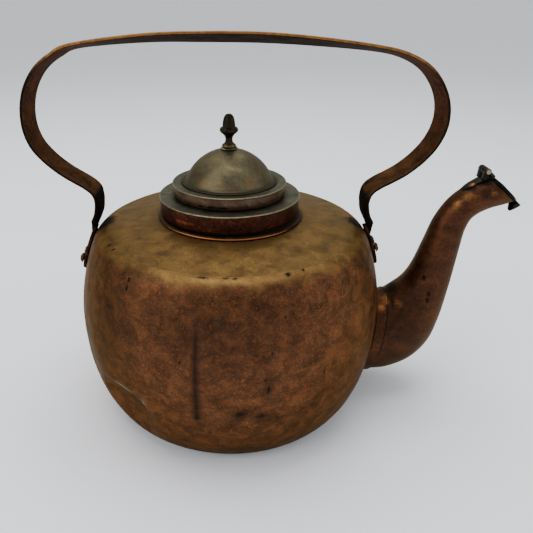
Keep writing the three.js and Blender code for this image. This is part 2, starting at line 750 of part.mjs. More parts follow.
function dome() {
  const shell = (radius, rise, start) => {
    const sphere = sphereOf(radius, rise);
    const centre = domeBottom + rise - sphere;
    const first = Math.asin(Math.min(1, start / sphere));
    const last = Math.acos((domeBottom - centre) / sphere);
    const steps = 7;
    return Array.from({ length: steps + 1 }, (_, i) => {
      const angle = first + ((last - first) * i) / steps;
      return [sphere * Math.sin(angle), centre + sphere * Math.cos(angle)];
    });
  };
  const hole = finialShankRadius + pinClearance;
  const outside = shell(domeRadius, domeRise, hole).reverse();
  const inside = shell(domeRadius - lidSheet, domeRise - lidSheet, hole);
  const flange = domeRadius + domeFlangeWidth;
  const flangeThin = lidSheet * 0.6;
  const flangeLow = domeBottom + lidSheet * 0.1;
  return ring([
    [flange, flangeLow],
    [flange, flangeLow + flangeThin],
    ...outside.slice(1),
    ...inside,
  ], domeSides);
}

// A flat burr under the dome touches it at its own edge, where the dome has already fallen away.
const burrFall = innerSphere - Math.sqrt(innerSphere ** 2 - washerRadius ** 2);
const burrTop = domeTop - lidSheet - burrFall - seamGap;

// The acorn finial: foot bead, neck, cup and nut, with a shank peened over a burr in the dome. Its
// profile is given as radii and heights above the finial's own foot.
function finial() {
  const foot = domeTop + seamGap + washerSheet;
  const tail = burrTop - washerSheet - seamGap / 3;
  const tip = foot + finialHeight - washerSheet;
  const nutBase = foot + finialNutHeight;
  const nutSteps = 5;
  const nut = Array.from({ length: nutSteps }, (_, i) => {
    const angle = ((i + 1) / nutSteps) * 90 * degree;
    return [finialNutRadius * Math.cos(angle), nutBase + (tip - nutBase) * Math.sin(angle)];
  });
  return turned([
    [0, tail - finialTailHeight],
    [finialTailRadius * 0.7, tail - finialTailHeight],
    [finialTailRadius, tail],
    [finialShankRadius, tail],
    [finialShankRadius, foot],
    [4.9, foot],
    [5.3, foot + 1],
    [4.9, foot + 2.2],
    [3.4, foot + 3.2],
    [2.7, foot + 5.9],
    [3.2, foot + 8],
    [4.7, foot + 9.8],
    [6.4, foot + 11.3],
    [6.8, foot + 12.6],
    [6.4, foot + 14],
    [5.2, foot + 14.8],
    ...nut,
  ], pinSides);
}

place('lid_skirt', band(skirtRadius, ledgeBottom - skirtDrop, ledgeBottom), bandCopper);
place('lid_ledge', ledge(skirtRadius + ledgeLip, stepRadius - lidSheet - ledgeLap, ledgeBottom), lidCopper);
place('lid_step_band', band(stepRadius, stepBottom, stepTop), lidCopper);
place('lid_step_ledge', ledge(stepRadius + ledgeLip, domeRadius - lidSheet - ledgeLap, stepTop), lidCopper);
place('lid_dome', dome(), lidCopper);
place('lid_finial', finial(), finialBrass);

const washerHole = finialShankRadius + pinClearance;
const washerLow = domeTop + seamGap / 2;
const outsideWasher = burr(washerRadius, washerHole, washerLow, washerLow + washerSheet);
place('finial_washer', outsideWasher, brightCopper);
const insideBurr = burr(washerRadius, washerHole, burrTop - washerSheet, burrTop);
place('finial_burr', insideBurr, brightCopper);

export default kettle;
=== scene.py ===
"""Visual model of an old copper kettle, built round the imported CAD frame.

Shapes are worked out in millimetres and become metres when a mesh is made. +X points to the spout.
"""
import json
import math

import bmesh
import bpy
import numpy as np
from mathutils import Matrix, Vector, noise


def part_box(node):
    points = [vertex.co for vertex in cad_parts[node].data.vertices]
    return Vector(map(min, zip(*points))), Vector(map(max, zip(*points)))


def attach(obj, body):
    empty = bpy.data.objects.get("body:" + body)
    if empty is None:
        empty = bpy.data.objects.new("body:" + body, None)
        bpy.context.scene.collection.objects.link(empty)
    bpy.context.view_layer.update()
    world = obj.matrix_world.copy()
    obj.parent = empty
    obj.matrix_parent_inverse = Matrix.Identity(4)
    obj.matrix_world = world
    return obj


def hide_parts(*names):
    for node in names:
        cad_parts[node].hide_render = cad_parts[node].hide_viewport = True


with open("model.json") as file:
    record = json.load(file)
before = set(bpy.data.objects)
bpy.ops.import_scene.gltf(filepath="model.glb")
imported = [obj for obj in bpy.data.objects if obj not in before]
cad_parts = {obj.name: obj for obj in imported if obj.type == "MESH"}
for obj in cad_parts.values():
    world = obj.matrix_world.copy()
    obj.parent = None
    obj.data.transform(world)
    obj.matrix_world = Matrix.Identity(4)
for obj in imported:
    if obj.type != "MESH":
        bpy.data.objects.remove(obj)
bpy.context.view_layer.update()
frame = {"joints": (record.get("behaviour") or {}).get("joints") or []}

MM = 0.001
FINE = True


# ---------------------------------------------------------------- sizes from the frame

def low(node):
    """Lowest corner of a CAD node in millimetres."""
    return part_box(node)[0] / MM


def high(node):
    """Highest corner of a CAD node in millimetres."""
    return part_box(node)[1] / MM


BELLY = -low("body_wall").x
BASE = high("base_plate").x
SHEET = high("base_plate").z
SEAM = 0.3
SHOULDER_PITCH = math.radians(9)
PLATE_EDGE = high("shoulder_plate").x + SEAM
ROUNDING = 8.0
SHOULDER = PLATE_EDGE + ROUNDING
SHOULDER_Z = high("body_wall").z - ROUNDING * math.tan(SHOULDER_PITCH)
BELLY_Z = 80.0
CROWN = ((SHOULDER_Z - BELLY_Z) ** 2 + (BELLY - SHOULDER) ** 2) / (2 * (BELLY - SHOULDER))
NECK = 50.4
NECK_TOP = high("neck_ring").z
FLANGE = high("neck_ring").x
SKIRT = high("lid_skirt").x
STEP = high("lid_step_band").x
DOME = 33.3
DOME_FOOT = low("lid_dome").z
DOME_TOP = high("lid_dome").z
NECK_SHEET = 1.2
LID_SHEET = 1.1
SIDES = 360  # steps round the body; the smaller turned pieces take half as many


def shoulder_top(radius):
    return SHOULDER_Z + (SHOULDER - radius) * math.tan(SHOULDER_PITCH)


def wall_radius(height):
    """Outside radius of the wall: an ellipse below the belly and a flatter arc above it."""
    if height < BELLY_Z:
        share = (BELLY_Z - height) / BELLY_Z
        return BASE + (BELLY - BASE) * math.sqrt(max(0.0, 1 - share ** 2))
    return BELLY - CROWN + math.sqrt(CROWN ** 2 - (height - BELLY_Z) ** 2)


# ---------------------------------------------------------------- small geometry tools

def lerp(a, b, t):
    return a + (b - a) * t


def smooth(t):
    t = min(1.0, max(0.0, t))
    return t * t * (3 - 2 * t)


def curve_point(points, share):
    """A point of the Catmull-Rom curve through the points, at a share of their count."""
    spans = len(points) - 1
    place = min(max(share, 0.0), 1.0) * spans
    i = min(int(place), spans - 1)
    t = place - i
    p1, p2 = points[i], points[i + 1]
    p0 = points[i - 1] if i else 2 * p1 - p2
    p3 = points[i + 2] if i + 2 <= spans else 2 * p2 - p1
    return 0.5 * (2 * p1 + (p2 - p0) * t + (2 * p0 - 5 * p1 + 4 * p2 - p3) * t ** 2
                  + (3 * p1 - p0 - 3 * p2 + p3) * t ** 3)


def curve(points, count):
    """Evenly counted points of the curve through the given ones."""
    knots = [np.array(p, float) for p in points]
    return [curve_point(knots, i / (count - 1)) for i in range(count)]


def offset(path, distance):
    """The path moved to its right-hand side, seen along it, by a distance."""
    moved = []
    for i, point in enumerate(path):
        before, after = path[max(i - 1, 0)], path[min(i + 1, len(path) - 1)]
        along = (after - before) / max(np.linalg.norm(after - before), 1e-9)
        moved.append(point + distance * np.array([along[1], -along[0]]))
    return moved


def sheet_profile(path, thickness, inner_step=1):
    """Closed outline of a sheet whose outside follows the path, with rounded ends."""
    path = [np.array(p, float) for p in path]
    inside = offset(path, -thickness)

    def cap(end, other, way):
        middle, arm = (end + other) / 2, (end - other) / 2
        ahead = np.array([-arm[1], arm[0]]) * way
        turns = [math.pi * k / 4 for k in (1, 2, 3)]
        return [middle + arm * math.cos(a) + ahead * math.sin(a) for a in turns]

    far_end, near_end = cap(path[-1], inside[-1], 1), cap(path[0], inside[0], -1)
    return path + far_end + inside[::-1][::inner_step] + near_end[::-1]


def noise_at(points, size, seed=0.0, octaves=2):
    """Smooth noise from -1 to 1 at each point; size is the width of a blotch in millimetres."""
    shift = Vector((seed * 13.7, seed * 7.1, seed * 3.3))
    return np.array([noise.fractal(Vector(p) / size + shift, 1.0, 2.0, octaves) for p in points])


def add_mesh(name, points, faces, material, marks=None):
    """A mesh from points in millimetres. Marks are values per point that materials read."""
    mesh = bpy.data.meshes.new(name)
    mesh.from_pydata((np.asarray(points, float) * MM).tolist(), [], faces)
    for mark, values in (marks or {}).items():
        layer = mesh.attributes.new(mark, "FLOAT", "POINT")
        layer.data.foreach_set("value", np.asarray(values, np.float32))
    work = bmesh.new()
    work.from_mesh(mesh)
    bmesh.ops.remove_doubles(work, verts=work.verts, dist=1e-7)
    bmesh.ops.recalc_face_normals(work, faces=work.faces)
    work.to_mesh(mesh)
    work.free()
    mesh.polygons.foreach_set("use_smooth", [True] * len(mesh.polygons))
    obj = bpy.data.objects.new(name, mesh)
    bpy.context.scene.collection.objects.link(obj)
    mesh.materials.append(material)
    return obj


def grid_faces(rows, columns, wrap_rows, wrap_columns):
    """Quads of a grid of points stored row by row."""
    faces = []
    for r in range(rows if wrap_rows else rows - 1):
        for c in range(columns if wrap_columns else columns - 1):
            s, d = (r + 1) % rows, (c + 1) % columns
            faces.append((r * columns + c, r * columns + d, s * columns + d, s * columns + c))
    return faces


def turned(name, profile, material, sides=192, closed=True, shape=None, marks=None):
    """Turns an outline of (radius, height) points round the Z axis."""
    angles = np.linspace(0, 2 * math.pi, sides, endpoint=False)
    outline = np.array(profile, float)
    radius, height = outline[:, 0][:, None], outline[:, 1][:, None]
    grid = np.stack(np.broadcast_arrays(radius * np.cos(angles), radius * np.sin(angles), height), -1)
    points = grid.reshape(-1, 3)
    layers = {key: rule(points) for key, rule in (marks or {}).items()}
    if shape:
        points = shape(points)
    return add_mesh(name, points, grid_faces(len(outline), sides, closed, True), material, layers)


# ---------------------------------------------------------------- materials

def linear(colour):
    """Linear light from a #rrggbb colour."""
    shares = [int(colour[i:i + 2], 16) / 255 for i in (1, 3, 5)]
    return tuple(s / 12.92 if s < 0.04045 else ((s + 0.055) / 1.055) ** 2.4 for s in shares) + (1.0,)


class Shader:
    """Builds one node material with a Principled surface."""

    def __init__(self, name, metallic=1.0):
        self.material = bpy.data.materials.new(name)
        self.material.use_nodes = True
        self.tree = self.material.node_tree
        self.surface = self.tree.nodes["Principled BSDF"]
        self.surface.inputs["Metallic"].default_value = metallic
        self.place = self.tree.nodes.new("ShaderNodeTexCoord").outputs["Object"]

    def link(self, value, socket):
        if isinstance(value, bpy.types.NodeSocket):
            self.tree.links.new(value, socket)
        else:
            socket.default_value = value

    def math(self, operation, a, b=0.0, clamp=False):
        node = self.tree.nodes.new("ShaderNodeMath")
        node.operation = operation
        node.use_clamp = clamp
        self.link(a, node.inputs[0])
        self.link(b, node.inputs[1])
        return node.outputs[0]

    def times(self, a, b, clamp=False):
        return self.math("MULTIPLY", a, b, clamp)

    def plus(self, a, b):
        return self.math("ADD", a, b)

    def scaled(self, stretch):
        """The place in the object, in millimetres, stretched along its axes."""
        node = self.tree.nodes.new("ShaderNodeVectorMath")
        node.operation = "MULTIPLY"
        self.link(self.place, node.inputs[0])
        node.inputs[1].default_value = [s / MM for s in stretch]
        return node.outputs[0]

    def noise(self, size, detail=4.0, rough=0.55, stretch=(1, 1, 1), warp=0.0):
        """Noise whose blotches are about size millimetres wide."""
        node = self.tree.nodes.new("ShaderNodeTexNoise")
        self.link(self.scaled(stretch), node.inputs["Vector"])
        node.inputs["Scale"].default_value = 1 / size
        node.inputs["Detail"].default_value = detail
        node.inputs["Roughness"].default_value = rough
        node.inputs["Distortion"].default_value = warp
        return node.outputs["Fac"]

    def cells(self, size, stretch):
        """Soft dimples, as a planishing hammer leaves."""
        node = self.tree.nodes.new("ShaderNodeTexVoronoi")
        node.feature = "SMOOTH_F1"
        self.link(self.scaled(stretch), node.inputs["Vector"])
        node.inputs["Scale"].default_value = 1 / size
        node.inputs["Smoothness"].default_value = 0.6
        return node.outputs["Distance"]

    def window(self, value, start, end):
        """0 below start, 1 above end, smooth between."""
        node = self.tree.nodes.new("ShaderNodeMapRange")
        node.interpolation_type = "SMOOTHSTEP"
        self.link(value, node.inputs["Value"])
        node.inputs["From Min"].default_value = start
        node.inputs["From Max"].default_value = end
        return node.outputs["Result"]

    def ramp(self, value, stops):
        node = self.tree.nodes.new("ShaderNodeValToRGB")
        self.link(value, node.inputs[0])
        elements = node.color_ramp.elements
        while len(elements) < len(stops):
            elements.new(0.5)
        for element, (position, colour) in zip(elements, stops):
            element.position = position
            element.color = linear(colour)
        return node.outputs["Color"]

    def tones(self, value, colours):
        """Dark, middle and light tone over the useful range of a noise."""
        return self.ramp(value, list(zip((0.34, 0.5, 0.66), colours)))

    def mix(self, factor, a, b):
        node = self.tree.nodes.new("ShaderNodeMix")
        node.data_type = "RGBA"
        self.link(factor, node.inputs["Factor"])
        for value, socket in ((a, node.inputs[6]), (b, node.inputs[7])):
            self.link(linear(value) if isinstance(value, str) else value, socket)
        return node.outputs[2]

    def mark(self, name):
        node = self.tree.nodes.new("ShaderNodeAttribute")
        node.attribute_name = name
        return node.outputs["Fac"]

    def height(self):
        node = self.tree.nodes.new("ShaderNodeSeparateXYZ")
        self.link(self.place, node.inputs[0])
        return self.times(node.outputs["Z"], 1 / MM)

    def bump(self, height, depth, after=None):
        """Bump from a height in millimetres."""
        node = self.tree.nodes.new("ShaderNodeBump")
        node.inputs["Distance"].default_value = depth * MM
        self.link(height, node.inputs["Height"])
        if after:
            self.link(after, node.inputs["Normal"])
        return node.outputs["Normal"]

    def finish(self, colour, roughness, normal, specular=0.5):
        self.link(colour, self.surface.inputs["Base Color"])
        self.link(roughness, self.surface.inputs["Roughness"])
        self.link(normal, self.surface.inputs["Normal"])
        self.surface.inputs["Specular IOR Level"].default_value = specular
        return self.material


# Tone of dirt and soot, and of painted shade.
DIRT_AND_SHADE = "#1d1712"
GLINT = "#a79d86"
STREAK = (1, 1, 1.25)  # blotches are a little wider than they are tall


# worn is the tone of worn copper; the wear mark also uses it for painted highlights.
def old_copper(name, tones, height_tint=None, worn="#b57a45", red="#6d2f1c", red_share=0.5, blotch=22,
               rough=(0.36, 0.56), metallic=0.9, spots=0.5, hammer=0.1, freckles=0.0, sheen="#d6d4c6"):
    """Tarnished sheet copper: mottled tones, red patches, dark spots, worn edges, soft hammer marks, and the
    painted highlights and painted shade that the mesh's marks carry.

    A height tint is (start, end, tones, red, red share) and takes over between the two heights.
    """
    s = Shader(name, metallic)
    fine = s.noise(blotch / 7, 5, 0.65, STREAK)
    tone = s.plus(s.times(s.noise(blotch, 5, 0.6, STREAK, 0.6), 0.6), s.times(fine, 0.4))
    ruddy = s.window(s.noise(blotch * 0.7, 6, 0.62, STREAK, 0.4), 0.53, 0.68)
    colour = s.mix(s.times(ruddy, red_share), s.tones(tone, tones), red)
    freckle = s.window(s.noise(1.7, 4, 0.7), 0.56, 0.7)
    colour = s.mix(s.times(freckle, freckles), colour, worn)
    if height_tint:
        start, end, tint, tint_red, tint_share = height_tint
        waver = s.times(s.math("SUBTRACT", s.noise(16, 6, 0.6, (1, 1, 2)), 0.5), 12.0)
        tinted = s.mix(s.times(ruddy, tint_share), s.tones(tone, tint), tint_red)
        colour = s.mix(s.window(s.plus(s.height(), waver), start, end), colour, tinted)
    # Painted highlight: the glint mark lightens the colour towards a pale tone.
    colour = s.mix(s.mark("glint"), colour, GLINT)
    # The shade mark darkens the colour: stains, and painted shade where the pieces put it.
    shade = s.times(s.mark("shade"), s.plus(0.55, s.times(fine, 0.8)), clamp=True)
    colour = s.mix(shade, colour, DIRT_AND_SHADE)
    speck = s.window(s.noise(2.6, 3, 0.6), 0.66, 0.74)
    patch = s.window(s.noise(16, 3, 0.6), 0.5, 0.62)
    spot = s.times(s.times(speck, patch), spots)
    colour = s.mix(spot, colour, DIRT_AND_SHADE)
    # The soot mark darkens the colour with soot and painted shade; the wear mark brightens it with worn
    # copper and painted highlights.
    crisp = s.times(s.math("SUBTRACT", s.noise(3.2, 5, 0.7), 0.5), 0.9)
    soot_and_painted_shade = s.window(s.plus(s.mark("soot_and_painted_shade"), crisp), 0.22, 0.75)
    rub_and_highlight = s.window(s.plus(s.mark("wear_and_painted_highlight"), crisp), 0.3, 0.85)
    colour = s.mix(rub_and_highlight, s.mix(soot_and_painted_shade, colour, DIRT_AND_SHADE), worn)
    s.surface.inputs["Specular Tint"].default_value = linear(sheen)
    roughness = s.plus(rough[0], s.times(tone, rough[1] - rough[0]))
    roughness = s.plus(roughness, s.times(soot_and_painted_shade, 0.15))
    roughness = s.math("SUBTRACT", roughness, s.times(rub_and_highlight, 0.1), clamp=True)
    dimples = s.bump(s.cells(15, (1, 1, 0.8)), hammer * 6)
    grain = s.bump(s.noise(1.6, 6, 0.7, (1, 1, 0.5)), 0.12, dimples)
    pits = s.bump(s.plus(s.times(spot, -1.0), s.times(soot_and_painted_shade, -0.5)), 0.12, grain)
    return s.finish(colour, roughness, pits)


GOLDEN = ("#544026", "#6f542e", "#866638")
wall_metal = old_copper("wall_copper", ("#332015", "#513422", "#73482c"),
                        height_tint=(143.5, 150.5, GOLDEN, "#75532e", 0.4), red="#713d22", worn="#a05f2e",
                        red_share=0.5, spots=1.0, freckles=0.5, blotch=10, hammer=0.2, sheen="#bdb9a8")
shoulder_metal = old_copper("shoulder_copper", GOLDEN, red="#75532e", red_share=0.4, spots=0.3, blotch=11)
lid_metal = old_copper("lid_patina", ("#363731", "#504f43", "#6a6555"), red="#5e3d29",
                       worn="#8b8160", red_share=0.35, blotch=10, spots=0.3)
tier_metal = old_copper("tier_copper", ("#372a21", "#503e31", "#6b5845"), red="#653823",
                        worn="#7d5a3c", red_share=0.6, blotch=9, spots=0.4)
band_metal = old_copper("band_copper", ("#22120d", "#371b12", "#4a2618"), red="#6b361f",
                        worn="#9c5730", red_share=0.5, blotch=8, spots=0.6, freckles=0.3)
neck_metal = old_copper("neck_copper", ("#21150f", "#362115", "#4b2f1c"), red="#5a361c",
                        worn="#b4733c", blotch=10)
spout_metal = old_copper("spout_copper", ("#2c1d17", "#44291b", "#5a3821"), red="#5f3621",
                         worn="#84562f", red_share=0.45, blotch=14, spots=0.5, freckles=0.25)
handle_metal = old_copper("handle_copper", ("#302217", "#4a3421", "#664829"), red="#5c3420",
                          worn="#9a6a38", red_share=0.65, blotch=12, spots=0.5, freckles=0.3,
                          rough=(0.45, 0.62), sheen="#8d7a64")
rivet_metal = old_copper("rivet_copper", ("#2e2018", "#493121", "#5f4129"), red="#63381f",
                         worn="#8a5f3a", blotch=5, hammer=0.02)
iron_metal = old_copper("blackened_iron", ("#110f0e", "#1c1816", "#2b2420"), red="#33241b",
                        worn="#83522f", red_share=0.3, blotch=6, hammer=0.02, metallic=0.85,
                        rough=(0.35, 0.5))
pin_metal = old_copper("pin_metal", ("#2b2724", "#4a4540", "#6b655d"), red="#4a3a2e", worn="#8b8378",
                       blotch=4, hammer=0.0)
finial_metal = old_copper("finial_brass", ("#16120f", "#241d18", "#362c20"), red="#40331f",
                          worn="#75623a", red_share=0.4, blotch=5, hammer=0.0, rough=(0.32, 0.5))
base_metal = old_copper("base_copper", ("#241a14", "#3a281c", "#4f3624"), red="#5a3220", blotch=18)


# ---------------------------------------------------------------- marks on the body

def angle_of(points):
    """Angle in degrees round the axis."""
    return np.degrees(np.arctan2(points[:, 1], points[:, 0]))


def radius_of(points):
    """Distance from the axis in millimetres."""
    return np.hypot(points[:, 0], points[:, 1])


def arc(points, angle):
    """Distance along the skin from an angle, in millimetres."""
    return np.radians((angle_of(points) - angle + 180) % 360 - 180) * radius_of(points)


def squeezed(points, share):
    """The points moved to or from the axis by a share of their radius."""
    moved = points.copy()
    moved[:, 0] *= 1 + share
    moved[:, 1] *= 1 + share
    return moved


def blotch(points, angle, height, wide, tall, strength=1.0):
    """A soft spot on the wall; its half sizes are in millimetres."""
    rise = points[:, 2] - height
    return strength * np.exp(-((arc(points, angle) / wide) ** 2 + (rise / tall) ** 2))


# Small black stains: angle, height, half width, half height, strength.
WALL_STAINS = [
    (-101, 56, 2.6, 2.4, 0.85), (-129, 142, 1.3, 1.9, 1.0), (-129, 136.5, 1.3, 2.4, 1.0),
    (-58, 84, 1.0, 5, 0.7), (-152, 150, 1.8, 0.8, 0.9), (-147, 150, 1.4, 0.8, 0.9),
    (-72, 128, 1.4, 1.4, 0.8), (-106, 99, 1.1, 1.3, 0.8), (-77, 106, 1.0, 1.6, 0.7),
    (-75, 96, 1.1, 1.3, 0.6), (-101, 150.2, 7, 0.5, 0.7), (-92, 150.4, 4, 0.5, 0.7),
    (-88, 150.2, 3, 0.6, 0.7), (-68, 150, 2.2, 0.9, 0.9), (-61, 150.3, 1.6, 0.8, 0.8),
    (-118, 70, 1.1, 1.3, 0.6), (-78, 80, 1.6, 3.2, 0.85), (-79, 88, 1.3, 1.6, 0.8),
    (-96, 73, 1.6, 1.0, 0.7), (-90, 76, 0.9, 0.9, 0.7), (-87, 61, 5.5, 3.8, 0.6),
    (-80, 58, 4.4, 3.2, 0.6), (-82, 66, 1.5, 1.0, 0.7), (-74, 62, 0.9, 0.9, 0.7),
    (-110, 128, 0.9, 0.9, 0.7), (-95, 119, 1.6, 0.7, 0.6), (-66, 92, 0.8, 1.2, 0.7),
    (-143, 96, 1.0, 1.4, 0.7), (20, 100, 3, 2, 0.7), (95, 60, 3, 2, 0.7), (140, 110, 1.2, 6, 0.6),
    (70, 40, 3, 2, 0.7), (178, 52, 3, 2, 0.6),
]
# Darkening of the wall: small stains of water and soot, broad painted shade across the upper front, down the
# left side and in the dent, and faint broad darkening round the back.
WALL_STAINS_AND_SHADE = [
    (-101, 58, 3.4, 5, 0.8), (-87, 60, 6.5, 5, 0.95), (-80, 57.5, 5, 4, 0.9), (-78, 84, 4, 9, 0.6),
    (-100, 118, 40, 24, 0.42), (-136, 108, 26, 40, 0.55), (-104, 88, 3, 4, 0.5), (-60, 62, 5, 7, 0.5),
    (-70, 112, 5, 5, 0.4), (-88, 102, 9, 7, 0.35), (-97, 72, 3, 3, 0.5), (-150, 90, 26, 40, 0.28),
    (40, 80, 30, 40, 0.25), (120, 60, 40, 30, 0.25), (-129, 126, 2.2, 9, 0.5), (-93, 66, 2.5, 2.5, 0.5),
    (-129, 50, 9, 6, 0.5),
]
# Painted highlight along the crest round the dent.
DENT_GLINTS = [(-131, 60.5, 8, 1.6, 0.8), (-121.5, 52, 2.2, 5, 0.8)]
# Orange patches on the wall: worn copper and a painted highlight on the dent's ridge, and broad painted light
# on the low front.
WALL_WEAR_AND_LIGHT = [(-128, 62, 9, 1.6, 0.4), (-118.5, 45, 1.8, 9, 0.4), (-133, 30, 9, 9, 0.4),
             (-70, 66, 24, 26, 0.3), (-95, 40, 40, 12, 0.3)]
# The soot round the handle's feet.
HANDLE_SOOT = [(180, 148, 15, 9, 0.9), (0, 149, 12, 8, 0.9)]
DRIP_BOTTOM, DRIP_TOP = 54, 138


def strongest(points, marks):
    return np.maximum.reduce([blotch(points, *mark) for mark in marks])


def wall_soot_and_contact_shadow(points):
    # Painted contact shadow along the wall's foot.
    painted_contact_shadow = np.clip((7 - points[:, 2]) / 7, 0, 1) * 0.9
    return np.maximum(strongest(points, WALL_STAINS + HANDLE_SOOT), painted_contact_shadow)


def wall_stains_and_shade(points):
    z = points[:, 2]
    drip = blotch(points, -101, 95, 2.9, 1e6, 0.95) * (z > DRIP_BOTTOM) * np.clip((DRIP_TOP - z) / 22, 0, 1)
    # Painted shade low on the wall, near the floor.
    foot = np.clip((20 - z) / 16, 0, 1) * 0.9
    return np.maximum.reduce([strongest(points, WALL_STAINS_AND_SHADE), drip, foot])


def wall_glint(points):
    return strongest(points, DENT_GLINTS)


def wall_wear_and_light(points):
    return strongest(points, WALL_WEAR_AND_LIGHT)


# The dent's middle, its depth, its reach each way, how square it is, and the stiff height at the foot.
DENT_ANGLE, DENT_HEIGHT, DENT_DEPTH = -132, 40, 6.5
DENT_RIGHT, DENT_LEFT, DENT_UP, DENT_DOWN = 27, 30, 21, 26
DENT_SQUARE, STIFF_FOOT = 2.6, 12


def hand_made(points):
    """Unevenness of raised sheet, always inward, and the dent low on the left of the front."""
    arm = np.maximum(radius_of(points), 1e-6)
    swell = 0.35 * (noise_at(points, 55, 1, 1) - 1) + 0.14 * (noise_at(points, 17, 2, 1) - 1)
    across, rise = arc(points, DENT_ANGLE), points[:, 2] - DENT_HEIGHT
    u = np.abs(across) / np.where(across > 0, DENT_RIGHT, DENT_LEFT)
    v = np.abs(rise) / np.where(rise > 0, DENT_UP, DENT_DOWN)
    far = np.minimum((u ** DENT_SQUARE + v ** DENT_SQUARE) ** (1 / DENT_SQUARE), 1)
    crisp = np.clip(0.5 + 0.5 * (across / DENT_RIGHT + rise / DENT_UP), 0, 1)
    dent = -DENT_DEPTH * (crisp * (1 - far ** 4) + (1 - crisp) * (1 - far ** 2) ** 2)
    moved = squeezed(points, (swell * np.clip(points[:, 2] / STIFF_FOOT, 0, 1) + dent) / arm)
    moved[:, 2] = np.maximum(points[:, 2], 0)
    return moved


# ---------------------------------------------------------------- body pieces

def wall_path():
    low_turn = 44 if FINE else 24
    path = []
    for i in range(low_turn):
        height = BELLY_Z * (1 - math.cos(math.radians(90 * i / low_turn)))
        path.append((wall_radius(height), height))
    edge = SHOULDER_Z - ROUNDING
    for i in range(41):
        height = lerp(BELLY_Z, edge, i / 40)
        path.append((wall_radius(height), height))
    start, corner = np.array(path[-1]), np.array((SHOULDER, SHOULDER_Z))
    end = np.array((PLATE_EDGE, shoulder_top(PLATE_EDGE)))
    for i in range(1, 13):
        t = i / 12
        path.append(tuple((1 - t) ** 2 * start + 2 * t * (1 - t) * corner + t ** 2 * end))
    return path


def settle(obj, body, slot, *nodes):
    """The piece rides on its body and stands for its CAD nodes; its slot is not used."""
    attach(obj, body)
    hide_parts(*nodes)


def on_kettle(obj, slot, *nodes):
    settle(obj, "kettle", slot, *nodes)


marks = {"soot_and_painted_shade": wall_soot_and_contact_shadow, "wear_and_painted_highlight": wall_wear_and_light, "shade": wall_stains_and_shade, "glint": wall_glint}
wall = turned("body_wall_raised", sheet_profile(wall_path(), SHEET, 3), wall_metal, SIDES,
              shape=hand_made, marks=marks)
on_kettle(wall, "wall_copper", "body_wall")


PLATE_LIFT = 0.03  # keeps the plate's skin above the wall's rolled edge


def plate_soot(points):
    arm = radius_of(points)
    foot = np.exp(-((arm - FLANGE) / 2.2) ** 2) * 0.6
    feet = np.maximum(blotch(points, 180, 151, 15, 1e3, 0.9), blotch(points, 0, 151, 11, 1e3, 0.9))
    feet *= np.clip((arm - 86) / 9, 0, 1)
    return np.maximum(foot, feet)


def plate_shade(points):
    arm = radius_of(points)
    back = 0.3 * np.clip(np.sin(np.radians(angle_of(points))), 0, 1)
    foot = 0.45 * np.clip(1 - (arm - FLANGE) / 14, 0, 1) ** 2
    flecks = 0.28 * np.clip(noise_at(points, 9, 5, 3) * 2.2 - 0.3, 0, 1)
    return np.maximum.reduce([back, foot, flecks])


plate_radii = [PLATE_EDGE + 1.2, PLATE_EDGE + 1.15] + list(np.linspace(PLATE_EDGE, NECK + 0.1, 44))
plate_path = [(r, shoulder_top(r) + PLATE_LIFT) for r in plate_radii]
plate = turned("shoulder_plate_raised", sheet_profile(plate_path, SHEET, 3), shoulder_metal, SIDES,
               shape=hand_made, marks={"soot_and_painted_shade": plate_soot, "shade": plate_shade})
on_kettle(plate, "shoulder_copper", "shoulder_plate")

HOLLOW = 0.3  # the base is a little hollow, so it stands on its rim
base_path = [(r, HOLLOW * smooth((BASE - 9 - r) / 30)) for r in np.linspace(BASE, 0, 40)]
base_top = [(r, SHEET + HOLLOW * (1 - r / BASE)) for r in np.linspace(0, BASE, 12)]
base = turned("base_disc", base_path + base_top, base_metal, SIDES // 2)
on_kettle(base, "dark_copper", "base_plate")


def neck_profile():
    """Upstand with a flange turned out on the shoulder and a rolled top edge."""
    inner, edge = NECK - NECK_SHEET, FLANGE
    foot = low("neck_ring").z
    under = shoulder_top(edge) + SEAM
    root = under + shoulder_top(NECK) - shoulder_top(edge)
    thick = 1.3
    return ([(inner, foot), (inner + 0.6, foot), (NECK, foot + 0.5), (NECK, root - 0.1),
             (NECK + 0.3, root), (edge - 0.4, under + 0.05), (edge, under + 0.35),
             (edge, under + thick - 0.35), (edge - 0.4, under + thick), (NECK + 1.2, root + thick),
             (NECK + 0.35, root + thick + 0.3), (NECK, root + thick + 1.2)]
            + [(NECK, z) for z in np.linspace(root + 4, NECK_TOP - 0.6, 5)]
            + [(NECK - 0.2, NECK_TOP - 0.15), (NECK - 0.6, NECK_TOP), (inner + 0.2, NECK_TOP - 0.15)]
            + [(inner, z) for z in np.linspace(NECK_TOP - 0.6, foot + 0.5, 8)])


def neck_wear(points):
    """A thin bright line where the flange's edge meets the shoulder, strongest at the front left."""
    front = np.clip((np.cos(np.radians(angle_of(points) + 100)) - 0.2) / 0.7, 0.1, 1)
    edge = np.clip((radius_of(points) - FLANGE + 0.9) / 0.5, 0, 1)
    return edge * front * np.clip((shoulder_top(FLANGE) + 1.6 - points[:, 2]) / 0.3, 0, 1)


# Painted shadow on the neck ring's flange and upstand under the lid, all but the flange's outer edge.
def neck_flange_shadow(points):
    return np.clip((FLANGE - 0.5 - radius_of(points)) / 0.6, 0, 1) * 0.9


neck = turned("neck_ring_turned", neck_profile(), neck_metal, SIDES // 2,
              marks={"wear_and_painted_highlight": neck_wear, "soot_and_painted_shade": neck_flange_shadow})
on_kettle(neck, "bright_copper", "neck_ring")


# ---------------------------------------------------------------- lid

LID_SHIFT, LID_LEAN = -0.9, math.radians(0.3)
FINIAL_BORE = 2.3  # hole in the dome, the washer and the burr


